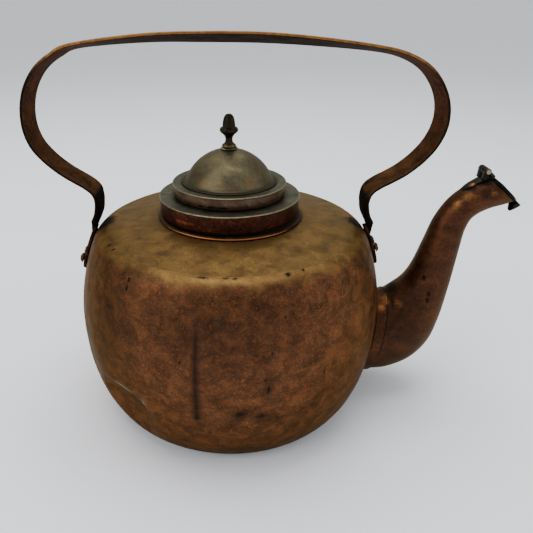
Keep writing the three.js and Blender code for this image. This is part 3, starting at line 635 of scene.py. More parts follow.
def leaning(points):
    """The lid sits a little to the left and leans that way."""
    moved = points.copy()
    rise = points[:, 2] - low("lid_ledge").z
    moved[:, 0] = points[:, 0] + LID_SHIFT - rise * math.sin(LID_LEAN)
    moved[:, 2] = points[:, 2] + points[:, 0] * math.sin(LID_LEAN)
    return moved


def lid_wobble(points):
    """The lid's tiers are slightly out of round and wavy."""
    inward = 0.25 * (noise_at(points, 35, 8, 1) - 1)
    moved = squeezed(points, inward / np.maximum(radius_of(points), 30))
    moved[:, 2] += 0.12 * noise_at(points, 30, 9, 1)
    return leaning(moved)


def along_edge(edge, height, reach, strength):
    """A mark that follows a circle of the lid: wear on an edge or darkening in a corner."""
    def rule(points):
        far = np.hypot(radius_of(points) - edge, points[:, 2] - height)
        return strength * np.exp(-(far / reach) ** 2)
    return rule


def skirt_marks():
    bottom = low("lid_skirt").z

    # Painted shadow along the band's lower edge.
    def soot_and_painted_shade(points):
        return np.clip((bottom + 1.6 - points[:, 2]) / 1.6, 0, 1) * 0.9

    def wear_and_painted_highlight(points):
        worn = blotch(points, -128, bottom + 5, 14, 2.2, 0.62)
        return np.maximum(worn, blotch(points, -106, bottom + 3, 12, 2.0, 0.45))
    return {"soot_and_painted_shade": soot_and_painted_shade, "wear_and_painted_highlight": wear_and_painted_highlight}


def band_path(radius, bottom, top, belly):
    """A band that swells slightly at mid height."""
    shares = np.linspace(0, 1, 12)
    return [(radius - belly + belly * math.sin(math.pi * t), lerp(bottom, top, t)) for t in shares]


def ledge_profile(node, next_tier):
    """A ring of sheet with a rolled outer edge and a slightly sunk, sloping top."""
    inner, outer = next_tier - 4.6, high(node).x
    bottom, top = low(node).z, high(node).z
    upper = [(outer - 0.15, bottom + 0.15), (outer, bottom + 0.55), (outer - 0.15, top - 0.25),
             (outer - 0.6, top - 0.02), (outer - 1.2, top - 0.05), (outer - 2.0, top - 0.22)]
    flat = [(r, top - 0.28) for r in np.linspace(outer - 3.2, inner + 0.3, 6)]
    under = [(inner, top - 0.5), (inner, bottom + 0.2), (inner + 0.3, bottom)]
    back = [(r, bottom) for r in np.linspace(inner + 2, outer - 0.6, 5)]
    return upper + flat + under + back


def lid_tier(name, node, slot, profile, material, marks):
    settle(turned(name, profile, material, SIDES // 2, shape=lid_wobble, marks=marks), "lid", slot, node)


def lid_band(name, node, slot, radius, material, marks, belly=0.25):
    profile = sheet_profile(band_path(radius, low(node).z, high(node).z, belly), LID_SHEET)
    lid_tier(name, node, slot, profile, material, marks)


def lid_ring(node, next_tier, corner, reach):
    """A ledge with a worn rim and darkening in the corner where the next tier stands."""
    top = high(node).z
    marks = {"wear_and_painted_highlight": along_edge(high(node).x - 0.3, top - 0.2, 0.9, 0.7),
             "shade": along_edge(corner, top, reach, 0.6)}
    lid_tier(f"{node}_rolled", node, "lid_copper", ledge_profile(node, next_tier), lid_metal, marks)


def step_soot(points):
    """Dark slots at the foot of the second tier."""
    foot = low("lid_step_band").z
    slots = [blotch(points, a, foot + 2.3, w, 0.9, 1.1) for a, w in ((-118, 3), (-107, 4), (-96, 5))]
    return np.maximum.reduce(slots + [np.clip((foot + 1.2 - points[:, 2]) / 1.2, 0, 1)])


def step_wear(points):
    return blotch(points, -112, low("lid_step_band").z + 5, 16, 2, 0.25)


lid_band("lid_skirt_band", "lid_skirt", "band_copper", SKIRT, band_metal, skirt_marks())
lid_ring("lid_ledge", STEP, STEP + 0.2, 1.9)
lid_band("lid_step_tier", "lid_step_band", "lid_copper", STEP, tier_metal,
         {"soot_and_painted_shade": step_soot, "wear_and_painted_highlight": step_wear}, 0.5)
lid_ring("lid_step_ledge", DOME, DOME + 2.4, 1.5)


def dome_path():
    """From the flange's edge in to the dome's foot, and over it to the finial's hole."""
    rise = DOME_TOP - DOME_FOOT
    sphere = (rise ** 2 + DOME ** 2) / (2 * rise)
    centre = DOME_FOOT + rise - sphere
    last = math.acos((DOME_FOOT + 1.2 - centre) / sphere)
    path = [(DOME + 2.5, DOME_FOOT + 0.75), (DOME + 1.6, DOME_FOOT + 0.9), (DOME + 0.7, DOME_FOOT + 1.0)]
    for i in range(33):
        angle = lerp(last, math.asin(FINIAL_BORE / sphere), i / 32)
        path.append((sphere * math.sin(angle), centre + sphere * math.cos(angle)))
    return path


def dome_wear(points):
    """Copper shows through low on the front of the dome."""
    patches = ((-128, 5, 5), (-100, 5, 7), (-62, 5, 7), (-84, 3, 5))
    return np.maximum.reduce([blotch(points, a, DOME_FOOT + h, 1.5 * w, 3.4, 0.5) for a, h, w in patches])


def dome_shade(points):
    """Darker on the rim's groove, and painted shade towards the dome's sides."""
    arm = radius_of(points)
    facing = np.abs(np.cos(np.radians(angle_of(points))))
    sides = 0.5 * np.clip(1.4 * facing - 0.5, 0, 1) * np.clip(arm / 25 - 0.3, 0, 1)
    return np.maximum(sides, 0.85 * np.clip((arm - DOME + 1.2) / 1.2, 0, 1))


dome_metal = old_copper("dome_patina", ("#474234", "#5e563f", "#71674c"), red="#664326", worn="#744428",
                        red_share=0.25, blotch=13, spots=0.15, rough=(0.42, 0.5), hammer=0.05)
lid_tier("lid_dome_raised", "lid_dome", "lid_copper", sheet_profile(dome_path(), LID_SHEET * 0.9),
         dome_metal, {"wear_and_painted_highlight": dome_wear, "shade": dome_shade})


def finial_outline():
    """Shank, foot bead, waist, cup with its rim, and the nut above it."""
    foot = high("finial_washer").z + 0.05
    tail, tip = low("lid_finial").z, high("lid_finial").z
    shank, tail_top = 2.2, tail + 1.4
    lower = [(0, tail), (2.4, tail), (3.5, tail + 0.7), (3.7, tail_top), (shank, tail_top), (shank, foot)]
    bead = curve([(4.6, foot), (5.25, foot + 0.9), (4.9, foot + 2.1), (3.7, foot + 2.9), (2.95, foot + 4),
                  (2.65, foot + 5.9), (3.1, foot + 7.9), (4.6, foot + 9.7), (6.3, foot + 11.2),
                  (6.75, foot + 12.5), (6.4, foot + 13.8), (5.4, foot + 14.5), (4.65, foot + 14.9)], 49)
    nut_foot = foot + 14.9
    rise = tip - nut_foot
    nut = [(4.65 * math.cos(a) ** 0.7, nut_foot + rise * math.sin(a)) for a in np.linspace(0.03, 1.5707, 18)]
    return lower + [tuple(p) for p in bead] + nut[:-1] + [(0, tip)]


def finial_wear(points):
    foot = high("finial_washer").z
    return np.clip((foot + 8 - points[:, 2]) / 6, 0, 1) * 0.55


finial = turned("finial_acorn", finial_outline(), finial_metal, 64, closed=False, shape=leaning,
                marks={"wear_and_painted_highlight": finial_wear})
settle(finial, "lid", "finial_brass", "lid_finial")


def washer(name, outer, inner, bottom, top, material, sides=64, shape=None, marks=None):
    """A flat ring with bevelled edges."""
    soft = 0.25
    outline = [(inner, bottom + soft), (inner + soft, bottom), (outer - soft, bottom), (outer, bottom + soft),
               (outer, top - soft), (outer - soft, top), (inner + soft, top), (inner, top - soft)]
    return turned(name, outline, material, sides, shape=shape, marks=marks)


def ring_wear(points):
    """The washer is worn bright on its left."""
    return np.clip(-points[:, 0] / 4, 0, 1) * 0.9


for node, material, worn in (("finial_washer", lid_metal, {"wear_and_painted_highlight": ring_wear}),
                             ("finial_burr", rivet_metal, {})):
    ring = washer(f"{node}_ring", high(node).x, FINIAL_BORE, low(node).z, high(node).z, material,
                  shape=leaning, marks=worn)
    settle(ring, "lid", "bright_copper", node)


# ---------------------------------------------------------------- spout

# Upper outline point, lower outline point and half width, each as (x, z) or y in millimetres.
SPOUT_UPPER = [(95, 76), (108, 80.5), (117.5, 83.8), (126, 87.3), (134, 93.4), (141.5, 101.5), (147.2, 114),
               (152.6, 133), (158, 152), (166.8, 168), (180.5, 180.3), (198.4, 189.8)]
SPOUT_LOWER = [(104, 16.5), (120, 16.3), (136, 18.6), (154, 28.5), (167.5, 45.5), (174.6, 69), (178.4, 95),
               (181, 127), (182.6, 144.5), (186.5, 154.5), (196, 161), (207.8, 165)]
SPOUT_HALF = [28.5, 29, 29.5, 29.5, 27, 22, 17, 14.3, 12.8, 11.9, 12.1, 13.3]
spout_upper = [np.array(p, float) for p in SPOUT_UPPER]
spout_lower = [np.array(p, float) for p in SPOUT_LOWER]
spout_half = [np.array([w], float) for w in SPOUT_HALF]
SPOUT_SHEET, SPOUT_LENGTH = 1.2, 220  # the length serves to run the skin on past its ends
MOUTH_TILT = math.radians(48.7)
MOUTH = np.array([203.1, 0, 177.4])
MOUTH_OUT = np.array([math.cos(MOUTH_TILT), 0, math.sin(MOUTH_TILT)])


def spout_point(share, turn, grow=0.0):
    """A point of the spout's skin at a share of its line and a turn round its section."""
    inside = min(max(share, 0.0), 1.0)
    top, bottom = curve_point(spout_upper, inside), curve_point(spout_lower, inside)
    half_width = curve_point(spout_half, inside)[0] + grow
    centre, half = (top + bottom) / 2, (top - bottom) / 2
    length = np.linalg.norm(half)
    unit = half / length
    ahead = np.array([unit[1], -unit[0]])
    place = centre + unit * (length + grow) * math.cos(turn) + ahead * (share - inside) * SPOUT_LENGTH
    return np.array([place[0], half_width * math.sin(turn), place[1]])


def solve(test, start, end):
    """Where a rule changes sign between two shares."""
    for _ in range(26):
        middle = (start + end) / 2
        if test(middle) > 0:
            end = middle
        else:
            start = middle
    return (start + end) / 2


def off_wall(point):
    """Distance of a point outside the body's wall."""
    return math.hypot(point[0], point[1]) - wall_radius(min(max(point[2], 0), SHOULDER_Z))


def spout_grid(turns, rows, grow, start_off, stop):
    """Points along each line of the skin, from a distance off the wall to the stop rule."""
    lines = []
    for turn in turns:
        first = solve(lambda s: off_wall(spout_point(s, turn, grow)) - start_off, -0.05, 0.5)
        last = solve(lambda s: stop(spout_point(s, turn, grow)), first, 1.12)
        lines.append([spout_point(lerp(first, last, i / (rows - 1)), turn, grow) for i in range(rows)])
    return np.array(lines).transpose(1, 0, 2)


def past_mouth(point):
    return float(np.dot(point - MOUTH, MOUTH_OUT))


def tube(name, outer, inner, rim_out, marks, shape=None):
    """A closed sheet tube from its outer and inner grids, with a rounded far edge."""
    edge = [lerp(outer[-1], inner[-1], t) + rim_out * math.sin(math.pi * t) for t in (0.15, 0.5, 0.85)]
    loops = list(outer) + edge + list(inner[::-1])
    points = np.array(loops).reshape(-1, 3)
    layers = {key: rule(points) for key, rule in marks.items()}
    if shape:
        points = shape(points)
    faces = grid_faces(len(loops), len(outer[0]), True, True)
    return add_mesh(name, points, faces, spout_metal, layers)


def near(points, place, size):
    """1 at a place, falling away over a size, both in millimetres."""
    return np.exp(-(np.linalg.norm((points - np.array(place)) / np.array(size), axis=1)) ** 2)


def spout_soot(points):
    upper = np.maximum(near(points, (188, -5, 184), (10, 7, 4)), near(points, (178, -3, 179), (10, 7, 3)))
    armpit = np.maximum(near(points, (131, 0, 92), (9, 12, 5)) * 0.8,
                        near(points, (131, -14, 84), (1.5, 8, 8)) * 0.7)
    rim = np.clip(1 - np.abs((points - MOUTH) @ MOUTH_OUT) / 1.6, 0, 1) * 0.8
    places = ((153, -14, 108), (156, -20, 91), (157, -19, 96))
    spots = [near(points, p, (1.5, 3, 2.2)) * 1.2 for p in places]
    return np.maximum.reduce([upper, armpit, rim] + spots)


def spout_shade(points):
    back = np.clip((points[:, 2] - 100) / 60, 0, 1) * np.clip(points[:, 1] / 10 + 0.6, 0, 1) * 0.3
    foot = near(points, (140, -20, 60), (26, 40, 34)) * 0.35
    return np.maximum(back, foot)


def spout_wear_and_sheen(points):
    # The patch on the bend is a painted sheen.
    bend = np.maximum(near(points, (178, -9, 173), (11, 7, 6)), near(points, (170, -8, 167), (6, 7, 9)))
    tip = near(points, (194, -12, 178), (6, 7, 5)) * 0.55
    armpit = np.maximum(near(points, (127, -10, 85), (4, 8, 5)),
                        near(points, (135, -17, 86), (6, 7, 5))) * 0.6
    low_edge = near(points, (160, -12, 42), (14, 16, 10)) * 0.4
    return np.maximum.reduce([bend * 0.55, tip, armpit, low_edge])


def dished(points):
    """Small unevenness of the hand-made tube."""
    push = 0.22 * (noise_at(points, 26, 4, 2) - 0.6)
    moved = points.copy()
    moved[:, 1] += push * np.sign(points[:, 1]) * np.clip(np.abs(points[:, 1]) / 8, 0, 1)
    return moved


SPOUT_TURNS = np.linspace(0, 2 * math.pi, 96 if FINE else 48, endpoint=False)
SPOUT_ROWS = 130 if FINE else 60
outer_skin = spout_grid(SPOUT_TURNS, SPOUT_ROWS, -0.12, -0.4, past_mouth)
inner_skin = spout_grid(SPOUT_TURNS, SPOUT_ROWS // 2, -SPOUT_SHEET, -0.4, past_mouth)
spout = tube("spout_gooseneck", outer_skin, inner_skin, MOUTH_OUT * 0.25,
             {"soot_and_painted_shade": spout_soot, "wear_and_painted_highlight": spout_wear_and_sheen, "shade": spout_shade}, dished)
on_kettle(spout, "dark_copper", "spout_tube")


COLLAR = 9.0  # how far the collar stands out from the wall


def collar_soot(points):
    off = np.array([off_wall(p) for p in points])
    edge = np.exp(-((off - COLLAR) / 0.9) ** 2) * np.clip((points[:, 2] - 30) / 25, 0.3, 1)
    seam = np.exp(-((off - 0.3) / 0.8) ** 2) * 0.8
    return np.maximum(edge, seam)


def collar_wear(points):
    return np.maximum(near(points, (127, -10, 86), (6, 8, 5)), near(points, (122, -15, 81), (5, 7, 5))) * 0.75


def past_collar(point):
    return off_wall(point) - COLLAR


collar_outer = spout_grid(SPOUT_TURNS, 14, 1.15, 0.15, past_collar)
collar_inner = spout_grid(SPOUT_TURNS, 14, 0.2, 0.15, past_collar)
collar = tube("spout_collar_band", collar_outer, collar_inner, np.array([0.1, 0, 0]),
              {"soot_and_painted_shade": collar_soot, "wear_and_painted_highlight": collar_wear})
on_kettle(collar, "collar_copper", "spout_collar")


# ---------------------------------------------------------------- flap and hinge

hinge = next(j for j in frame["joints"] if j["name"] == "flap_hinge")
PIN = np.array(hinge["pos_m"], float) / MM
DOWN = np.array([math.sin(MOUTH_TILT), 0, -math.cos(MOUTH_TILT)])
ACROSS = np.array([0, 1, 0])


def in_mouth(points):
    """Places points given as (down the mouth, across it, out of it)."""
    points = np.asarray(points, float)
    return MOUTH + points[:, :1] * DOWN + points[:, 1:2] * ACROSS + points[:, 2:3] * MOUTH_OUT


pin_down, pin_out = float((PIN - MOUTH) @ DOWN), float((PIN - MOUTH) @ MOUTH_OUT)
BARREL, KNUCKLE, KNUCKLE_GAP, PIN_RADIUS = 2.6, 4.2, 0.25, 1.1


def barrel_ring(radius, across, sides):
    angles = np.linspace(0, 2 * math.pi, sides, endpoint=False)
    return [(pin_down + radius * math.cos(a), across, pin_out + radius * math.sin(a)) for a in angles]


def barrel_piece(radius_at, start, end, sides=40, bore=0.0):
    """A knuckle or pin along the hinge: rings of points whose radius follows a rule."""
    steps = [0, 0.04, 0.12, 0.3, 0.5, 0.7, 0.88, 0.96, 1]
    rings = [barrel_ring(radius_at(t), lerp(start, end, t), sides) for t in steps]
    if bore:
        rings += [barrel_ring(bore, end, sides), barrel_ring(bore, start, sides)]
        return np.array(rings).reshape(-1, 3), grid_faces(len(rings), sides, True, True)
    count, last = len(steps) * sides, (len(steps) - 1) * sides
    ends = [[pin_down, start, pin_out], [pin_down, end, pin_out]]
    points = np.concatenate([np.array(rings).reshape(-1, 3), ends])
    faces = grid_faces(len(steps), sides, False, True)
    for i in range(sides):
        j = (i + 1) % sides
        faces += [(j, i, count), (last + i, last + j, count + 1)]
    return points, faces


def knuckle(start, end):
    """A barrel whose ends are rounded off, bored for the pin."""
    def radius_at(t):
        return BARREL - 0.35 * (1 - min(1, min(t, 1 - t) / 0.12)) ** 2
    return barrel_piece(radius_at, start, end, bore=PIN_RADIUS + 0.1)


def joined(parts):
    """Several point-and-face lists as one."""
    points, faces, start = [], [], 0
    for part_points, part_faces in parts:
        points.append(np.asarray(part_points, float))
        faces += [tuple(start + i for i in face) for face in part_faces]
        start += len(part_points)
    return np.concatenate(points), faces


def slab(rows_top, rows_under):
    """A closed plate from equal grids of its top and its underside."""
    rows, columns = len(rows_top), len(rows_top[0])
    points = np.concatenate([np.array(rows_top).reshape(-1, 3), np.array(rows_under).reshape(-1, 3)])
    half = rows * columns
    faces = grid_faces(rows, columns, False, False)
    faces += [tuple(half + i for i in face[::-1]) for face in grid_faces(rows, columns, False, False)]
    border = list(range(columns)) + [r * columns + columns - 1 for r in range(1, rows)]
    border += [(rows - 1) * columns + c for c in range(columns - 2, -1, -1)]
    border += [r * columns for r in range(rows - 2, 0, -1)]
    for i, a in enumerate(border):
        b = border[(i + 1) % len(border)]
        faces.append((b, a, half + a, half + b))
    return points, faces


half_knuckle = KNUCKLE / 2 - KNUCKLE_GAP / 2
outer_knuckle = KNUCKLE / 2 + KNUCKLE_GAP / 2
barrel_end = 1.5 * KNUCKLE

FLAP_LIFT, FLAP_SHEET = 0.9, 1.1
FLAP_TOP = FLAP_LIFT + FLAP_SHEET
RIM = 13.3 + 1.6  # the flap's radius: the mouth's and an overhang
BARREL_SETBACK = 4.4
LIP_DOWN = 7.6 - pin_down - BARREL_SETBACK
LIP_HALF, LIP_DROP, LIP_CORNER = 6.0, 7.0, 5.5


def flap_half_width(down):
    """Half width of the flap: a tab at the hinge, a disc over the mouth, and the thumb lip."""
    tab = KNUCKLE / 2 - 0.15 + max(0.0, down - pin_down - 3.2) * 1.8
    disc = math.sqrt(max(RIM ** 2 - max(-RIM, min(RIM, down)) ** 2, 0))
    if down < 0:
        return max(min(tab, RIM), min(disc, tab * 1.2))
    corner = max(0, (down - LIP_DOWN + LIP_CORNER) / LIP_CORNER)
    lip = LIP_HALF * math.sqrt(max(0.0, 1 - corner ** 2))
    return max(disc, lip if down > RIM * 0.55 else 0)


def flap_rows(out):
    rows = []
    for down in np.concatenate([np.linspace(pin_down + 2.4, 0, 26), np.linspace(0.5, LIP_DOWN - 0.02, 44)]):
        width = max(flap_half_width(down), 0.15)
        crown = 0.35 * (1 - (down / RIM) ** 2) if abs(down) < RIM else 0
        rows.append([(down, width * c, out + crown * (1 - c * c)) for c in np.linspace(-1, 1, 25)])
    return rows


def lip_rows(inset):
    """The lip turned down over the mouth's lower edge, a crescent when seen from the front."""
    top, bottom = FLAP_TOP - 0.05, FLAP_LIFT - LIP_DROP
    rows = []
    for level in np.linspace(top, bottom, 9):
        drop = (top - level) / (top - bottom)
        row = []
        for c in np.linspace(-1, 1, 25):
            across = c * LIP_HALF * (1 - 0.25 * drop ** 2)
            down = LIP_DOWN - 4.5 * (1 - math.sqrt(max(0, 1 - (0.98 * c) ** 2))) - inset - 1.5 * drop ** 2
            row.append((down, across, lerp(top, level, 1 - 0.7 * c * c)))
        rows.append(row)
    return rows


flap_points, flap_faces = joined([slab(flap_rows(FLAP_TOP), flap_rows(FLAP_LIFT)),
                                  slab(lip_rows(0.05), lip_rows(1.5)),
                                  knuckle(-half_knuckle, half_knuckle)])
flap = add_mesh("spout_flap_lid", in_mouth(flap_points), flap_faces, iron_metal)
settle(flap, "flap", "black_copper", "spout_flap")

PIN_HEAD, PIN_HEAD_LENGTH = 1.8, 0.7
pin_end = barrel_end + SEAM + PIN_HEAD_LENGTH


def pin_radius(t):
    """The pin's radius along its length, with a peened head at each end."""
    if 0.05 <= t <= 0.95:
        return PIN_RADIUS
    return PIN_HEAD - 0.5 * (t in (0, 1))


pin_points, pin_faces = barrel_piece(pin_radius, -pin_end, pin_end, 32)
pin = add_mesh("hinge_pin_peened", in_mouth(pin_points), pin_faces, pin_metal,
               {"wear_and_painted_highlight": np.full(len(pin_points), 0.9)})
on_kettle(pin, "black_copper", "hinge_pin")


BRACKET_FOOT, BRACKET_HEAD = 0.875, 0.985  # shares of the spout's line


def bracket_strap():
    """A strap that lies on the spout's top and curls up to the knuckles."""
    top, under = [], []
    for t in np.linspace(0, 1, 34):
        share = lerp(BRACKET_FOOT, BRACKET_HEAD, t)
        half = lerp(4.6, 6.0, t) * (0.45 + 0.55 * smooth(t * 4))
        row_top, row_under = [], []
        for c in np.linspace(-1, 1, 13):
            turn = math.asin(max(-1, min(1, c * half / (curve_point(spout_half, min(share, 1))[0] + 1.6))))
            soft = 0.25 * abs(c) ** 6
            row_top.append(spout_point(share, turn, lerp(0.7, 1.5, t) - soft))
            row_under.append(spout_point(share, turn, 0.15))
        top.append(row_top)
        under.append(row_under)
    return slab(top, under)


def bracket_web(side):
    """The tongue that carries an outer knuckle, slanting from the barrel down to the strap."""
    start, end = (side * outer_knuckle, side * (barrel_end - 0.1))
    top, under = [], []
    for t in np.linspace(0, 1, 8):
        near_edge = (pin_down + lerp(1.2, 4.4, t), pin_out + lerp(-0.6, -2.6, t))
        far_edge = (pin_down + lerp(-1.9, 2.2, t), pin_out + lerp(-1.2, -6.6, t))
        top.append([(near_edge[0], y, near_edge[1]) for y in np.linspace(start, end, 4)])
        under.append([(far_edge[0], y, far_edge[1]) for y in np.linspace(start, end, 4)])
    return slab(top, under)


webs = [bracket_web(side) for side in (-1, 1)]
knuckles = [knuckle(side * outer_knuckle, side * barrel_end) for side in (-1, 1)]
mouth_points, mouth_faces = joined(webs + knuckles)
bracket_points, bracket_faces = joined([bracket_strap(), (in_mouth(mouth_points), mouth_faces)])
bracket_wear = np.maximum.reduce([near(bracket_points, (180, -4, 181.5), (4, 4, 3)) * 0.7,
                                  near(bracket_points, (190, -6.5, 192), (3, 1.5, 3)) * 0.9])
bracket = add_mesh("hinge_bracket_strap", bracket_points, bracket_faces, iron_metal, {"wear_and_painted_highlight": bracket_wear})
on_kettle(bracket, "black_copper", "hinge_bracket")


# ---------------------------------------------------------------- handle

# Places of the strap's middle line: beyond the shoulder's edge and above it, on each side, and along
# X and above it on the top bar.
LEFT_SIDE = [(4.4, -7.5), (3, -3), (0.2, 3.5), (-2.2, 10.5), (-2.6, 19.5), (-0.6, 26.5), (5, 31.8),
             (12, 36.3), (20.5, 42), (30.5, 50.8), (38.5, 61.5), (42, 74), (41.3, 88), (36.8, 101.5),
             (28.5, 113.2), (17, 121.6), (2, 127.6)]
RIGHT_SIDE = [(5.7, -8.5), (5, -3), (3.6, 1.5), (1, 7), (-0.4, 13.5), (-0.3, 21), (2.4, 27.6), (8.5, 32.4),
              (16.5, 36.8), (25.5, 42.4), (36, 51.8), (44.2, 63.2), (48.3, 76.5), (47, 90.5), (41, 103.3),
              (31, 114), (16.5, 121.4), (-2, 125.6)]
TOP_BAR = [(-58, 132.2), (-18, 133), (24, 132.4), (64, 129.6)]
STRAP_WIDTH, STRAP_SHEET, STRAP_TWIST = 27.0, 2.0, math.radians(15)
NECK_HALF, FOLD_RADIUS, NECK_LENGTH = 4.6, 2.4, 4.0
POD_RISE, POD_WEB, WEB_GROWTH, POD_LENGTH, FLARE = 10.0, 7.0, 0.12, 31.0, 20.0
END_TUCK = 1.6  # the strap's ends are drawn in against the leaves


def strap_line(count):
    """Evenly spaced points of the strap's middle line and its length."""
    knots = [(-SHOULDER - out, SHOULDER_Z + up) for out, up in LEFT_SIDE]
    knots += [(x, SHOULDER_Z + up) for x, up in TOP_BAR]
    knots += [(SHOULDER + out, SHOULDER_Z + up) for out, up in reversed(RIGHT_SIDE)]
    dense = np.array(curve(knots, 3000))
    steps = np.concatenate([[0], np.cumsum(np.linalg.norm(np.diff(dense, axis=0), axis=1))])
    places = np.linspace(0, steps[-1], count)
    line = np.stack([np.interp(places, steps, dense[:, 0]), np.interp(places, steps, dense[:, 1])], 1)
    return line, steps[-1]


def bar_outline():
    """The strap's own section, in shares of its half width and half thickness, with soft edges."""
    flat = np.linspace(-0.93, 0.93, 17)
    edge = [(0.975, 0.8), (1.0, 0.25), (1.0, -0.25), (0.975, -0.8)]
    return [(c, 1.0) for c in flat] + edge + [(c, -1.0) for c in flat[::-1]] + [(-c, -h) for c, h in edge]


def fold(across, rise, web, bend):
    """Where a place in the flat section lies once both sides beyond the web are bent up."""
    leg = max(0.0, abs(across) - web)
    wrap = min(leg * bend, math.pi / 2)
    sign = 1 if across > 0 else -1
    side, lift = across, 0.0
    if bend > 1e-4:
        side = sign * (abs(across) - leg + math.sin(wrap) / bend)
        lift = (1 - math.cos(wrap)) / bend + leg - wrap / bend
    return side - sign * math.sin(wrap) * rise, lift + math.cos(wrap) * rise


def strap_mesh(sections):
    """The strap's points and faces, with its marks: wear and painted highlights along its edges, painted
    shadow on its edges and inner face, and soot and painted shade on the pods at its feet.
    """
    line, length = strap_line(sections)
    outline = bar_outline()
    rings, wear_and_painted_highlight, soot_and_painted_shade, shade = [], [], [], []
    for i, place in enumerate(line):
        share = i / (sections - 1)
        run = 2 * share - 1
        along = line[min(i + 1, sections - 1)] - line[max(i - 1, 0)]
        along /= np.linalg.norm(along)
        out = np.array([-along[1], along[0]])
        from_end = min(share, 1 - share) * length
        place = place - np.array([math.copysign(END_TUCK, run) * max(0.0, 1 - from_end / 9) ** 2, 0])
        widening = smooth((from_end - NECK_LENGTH) / POD_RISE)
        half = lerp(NECK_HALF, STRAP_WIDTH / 2, widening)
        web = (POD_WEB + WEB_GROWTH * from_end) * widening
        bend = (1 - smooth((from_end - POD_LENGTH + FLARE / 2) / FLARE)) / FOLD_RADIUS
        twist = STRAP_TWIST * math.cos(run * math.pi / 2) ** 4
        top_bar = 1 - smooth((abs(run) - 0.42) / 0.12)
        pod = 1 - smooth((from_end - POD_LENGTH) / 8)
        ring = []
        for c, h in outline:
            side, lift = fold(c * half, h * STRAP_SHEET / 2, web, bend)
            turned_out = lift * math.cos(twist) - side * math.sin(twist)
            turned_side = side * math.cos(twist) + lift * math.sin(twist)
            ring.append((place[0] + out[0] * turned_out, turned_side, place[1] + out[1] * turned_out))
            # Along the sides, a painted highlight runs on the faces beside the edges and the edges' thickness
            # gets painted shadow; along the top bar, both edges get a painted highlight.
            at_edge = 1.0 if abs(c) > 0.96 else 0.0
            painted_edge_glow = 0.5 * math.exp(-((abs(c) - 0.86) / 0.07) ** 2)
            wear_and_painted_highlight.append(max(0.05, lerp(painted_edge_glow, 0.62 * at_edge, top_bar)))
            # Painted shade on the strap's inner face, under the top bar and its upper curves.
            shade.append((0.75 if h < 0 and not at_edge else 0.1) * smooth((from_end - 150) / 60))
            # The pods at the feet are darkened whole: soot, and painted shade in their folds.
            soot_and_painted_shade.append(max(pod * 0.8, 0.7 * at_edge * (1 - top_bar)))
        rings.append(ring)
    points = np.array(rings).reshape(-1, 3)
    columns = len(outline)
    faces = grid_faces(sections, columns, False, True)
    faces += [tuple(range(columns))[::-1], tuple((sections - 1) * columns + i for i in range(columns))]
    points[:, 0] += 0.25 * noise_at(points, 40, 3, 1)
    return points, faces, {"wear_and_painted_highlight": wear_and_painted_highlight, "soot_and_painted_shade": soot_and_painted_shade, "shade": shade}


strap_points, strap_faces, strap_marks = strap_mesh(420 if FINE else 200)
strap = add_mesh("handle_strap_bent", strap_points, strap_faces, handle_metal, strap_marks)
on_kettle(strap, "handle_copper", "handle_strap")

PINCH = {"left": SHOULDER_Z - 5, "right": SHOULDER_Z - 1}
SIDE = {"left": -1, "right": 1}
RIVET_DROP = {"left": 23, "right": 18}
LEAF_LENGTH, LEAF_HALF, LEAF_TOP_HALF, LEAF_SHEET = 34.0, 12.0, 3.6, 2.4


def wall_slope(height):
    return wall_radius(height + 0.5) - wall_radius(height - 0.5)


def on_wall(side, across, height, lift):
    """A point off the wall's skin by a lift, on the left or right side of the body."""
    slope = wall_slope(height)
    flat = math.sqrt(1 + slope ** 2)
    radius = wall_radius(height) + lift / flat
    return (side * math.sqrt(radius ** 2 - across ** 2), across, height - lift * slope / flat)


def leaf_half(share):
    """Half width of the leaf from its tip (0) to the pinch (1)."""
    if share < 0.4:
        return LEAF_HALF * math.sin(math.pi / 2 * (share / 0.4) ** 0.62)
    return lerp(LEAF_TOP_HALF, LEAF_HALF, (1 - smooth((share - 0.4) / 0.6)) ** 1.1)


def leaf_mesh(foot):
    pinch, side = PINCH[foot], SIDE[foot]
    tip = pinch - LEAF_LENGTH
    top = min(pinch + 4, SHOULDER_Z - 3)
    upper, under = [], []
    for t in np.linspace(0, 1, 40):
        height = lerp(tip, top, t)
        half = max(leaf_half(min(1, (height - tip) / LEAF_LENGTH)), 0.3)
        row_upper, row_under = [], []
        for c in np.linspace(-1, 1, 21):
            soft = 1.1 * abs(c) ** 8 + (0.9 if t == 0 else 0)
            row_upper.append(on_wall(side, c * half, height, SEAM + LEAF_SHEET - soft))
            row_under.append(on_wall(side, c * half, height, 0.05))
        upper.append(row_upper)
        under.append(row_under)
    return slab(upper, under)


for foot in ("left", "right"):
    leaf_points, leaf_faces = leaf_mesh(foot)
    leaf = add_mesh(f"handle_leaf_{foot}", leaf_points, leaf_faces, handle_metal,
                    {"soot_and_painted_shade": 0.5 + 0.4 * noise_at(leaf_points, 9, 6, 2)})
    on_kettle(leaf, "handle_copper", "handle_strap")


# ---------------------------------------------------------------- rivets

def seat_matrix(side, across, height):
    """Frame whose Z is the wall's outward normal."""
    radius = wall_radius(height)
    outward = Vector((side * math.sqrt(radius ** 2 - across ** 2), across, -wall_slope(height) * radius))
    place = Vector((outward.x, across, height))
    return Matrix.Translation(place * MM) @ outward.to_track_quat("Z", "Y").to_matrix().to_4x4()


def placed(obj, matrix):
    obj.data.transform(matrix)
    return obj


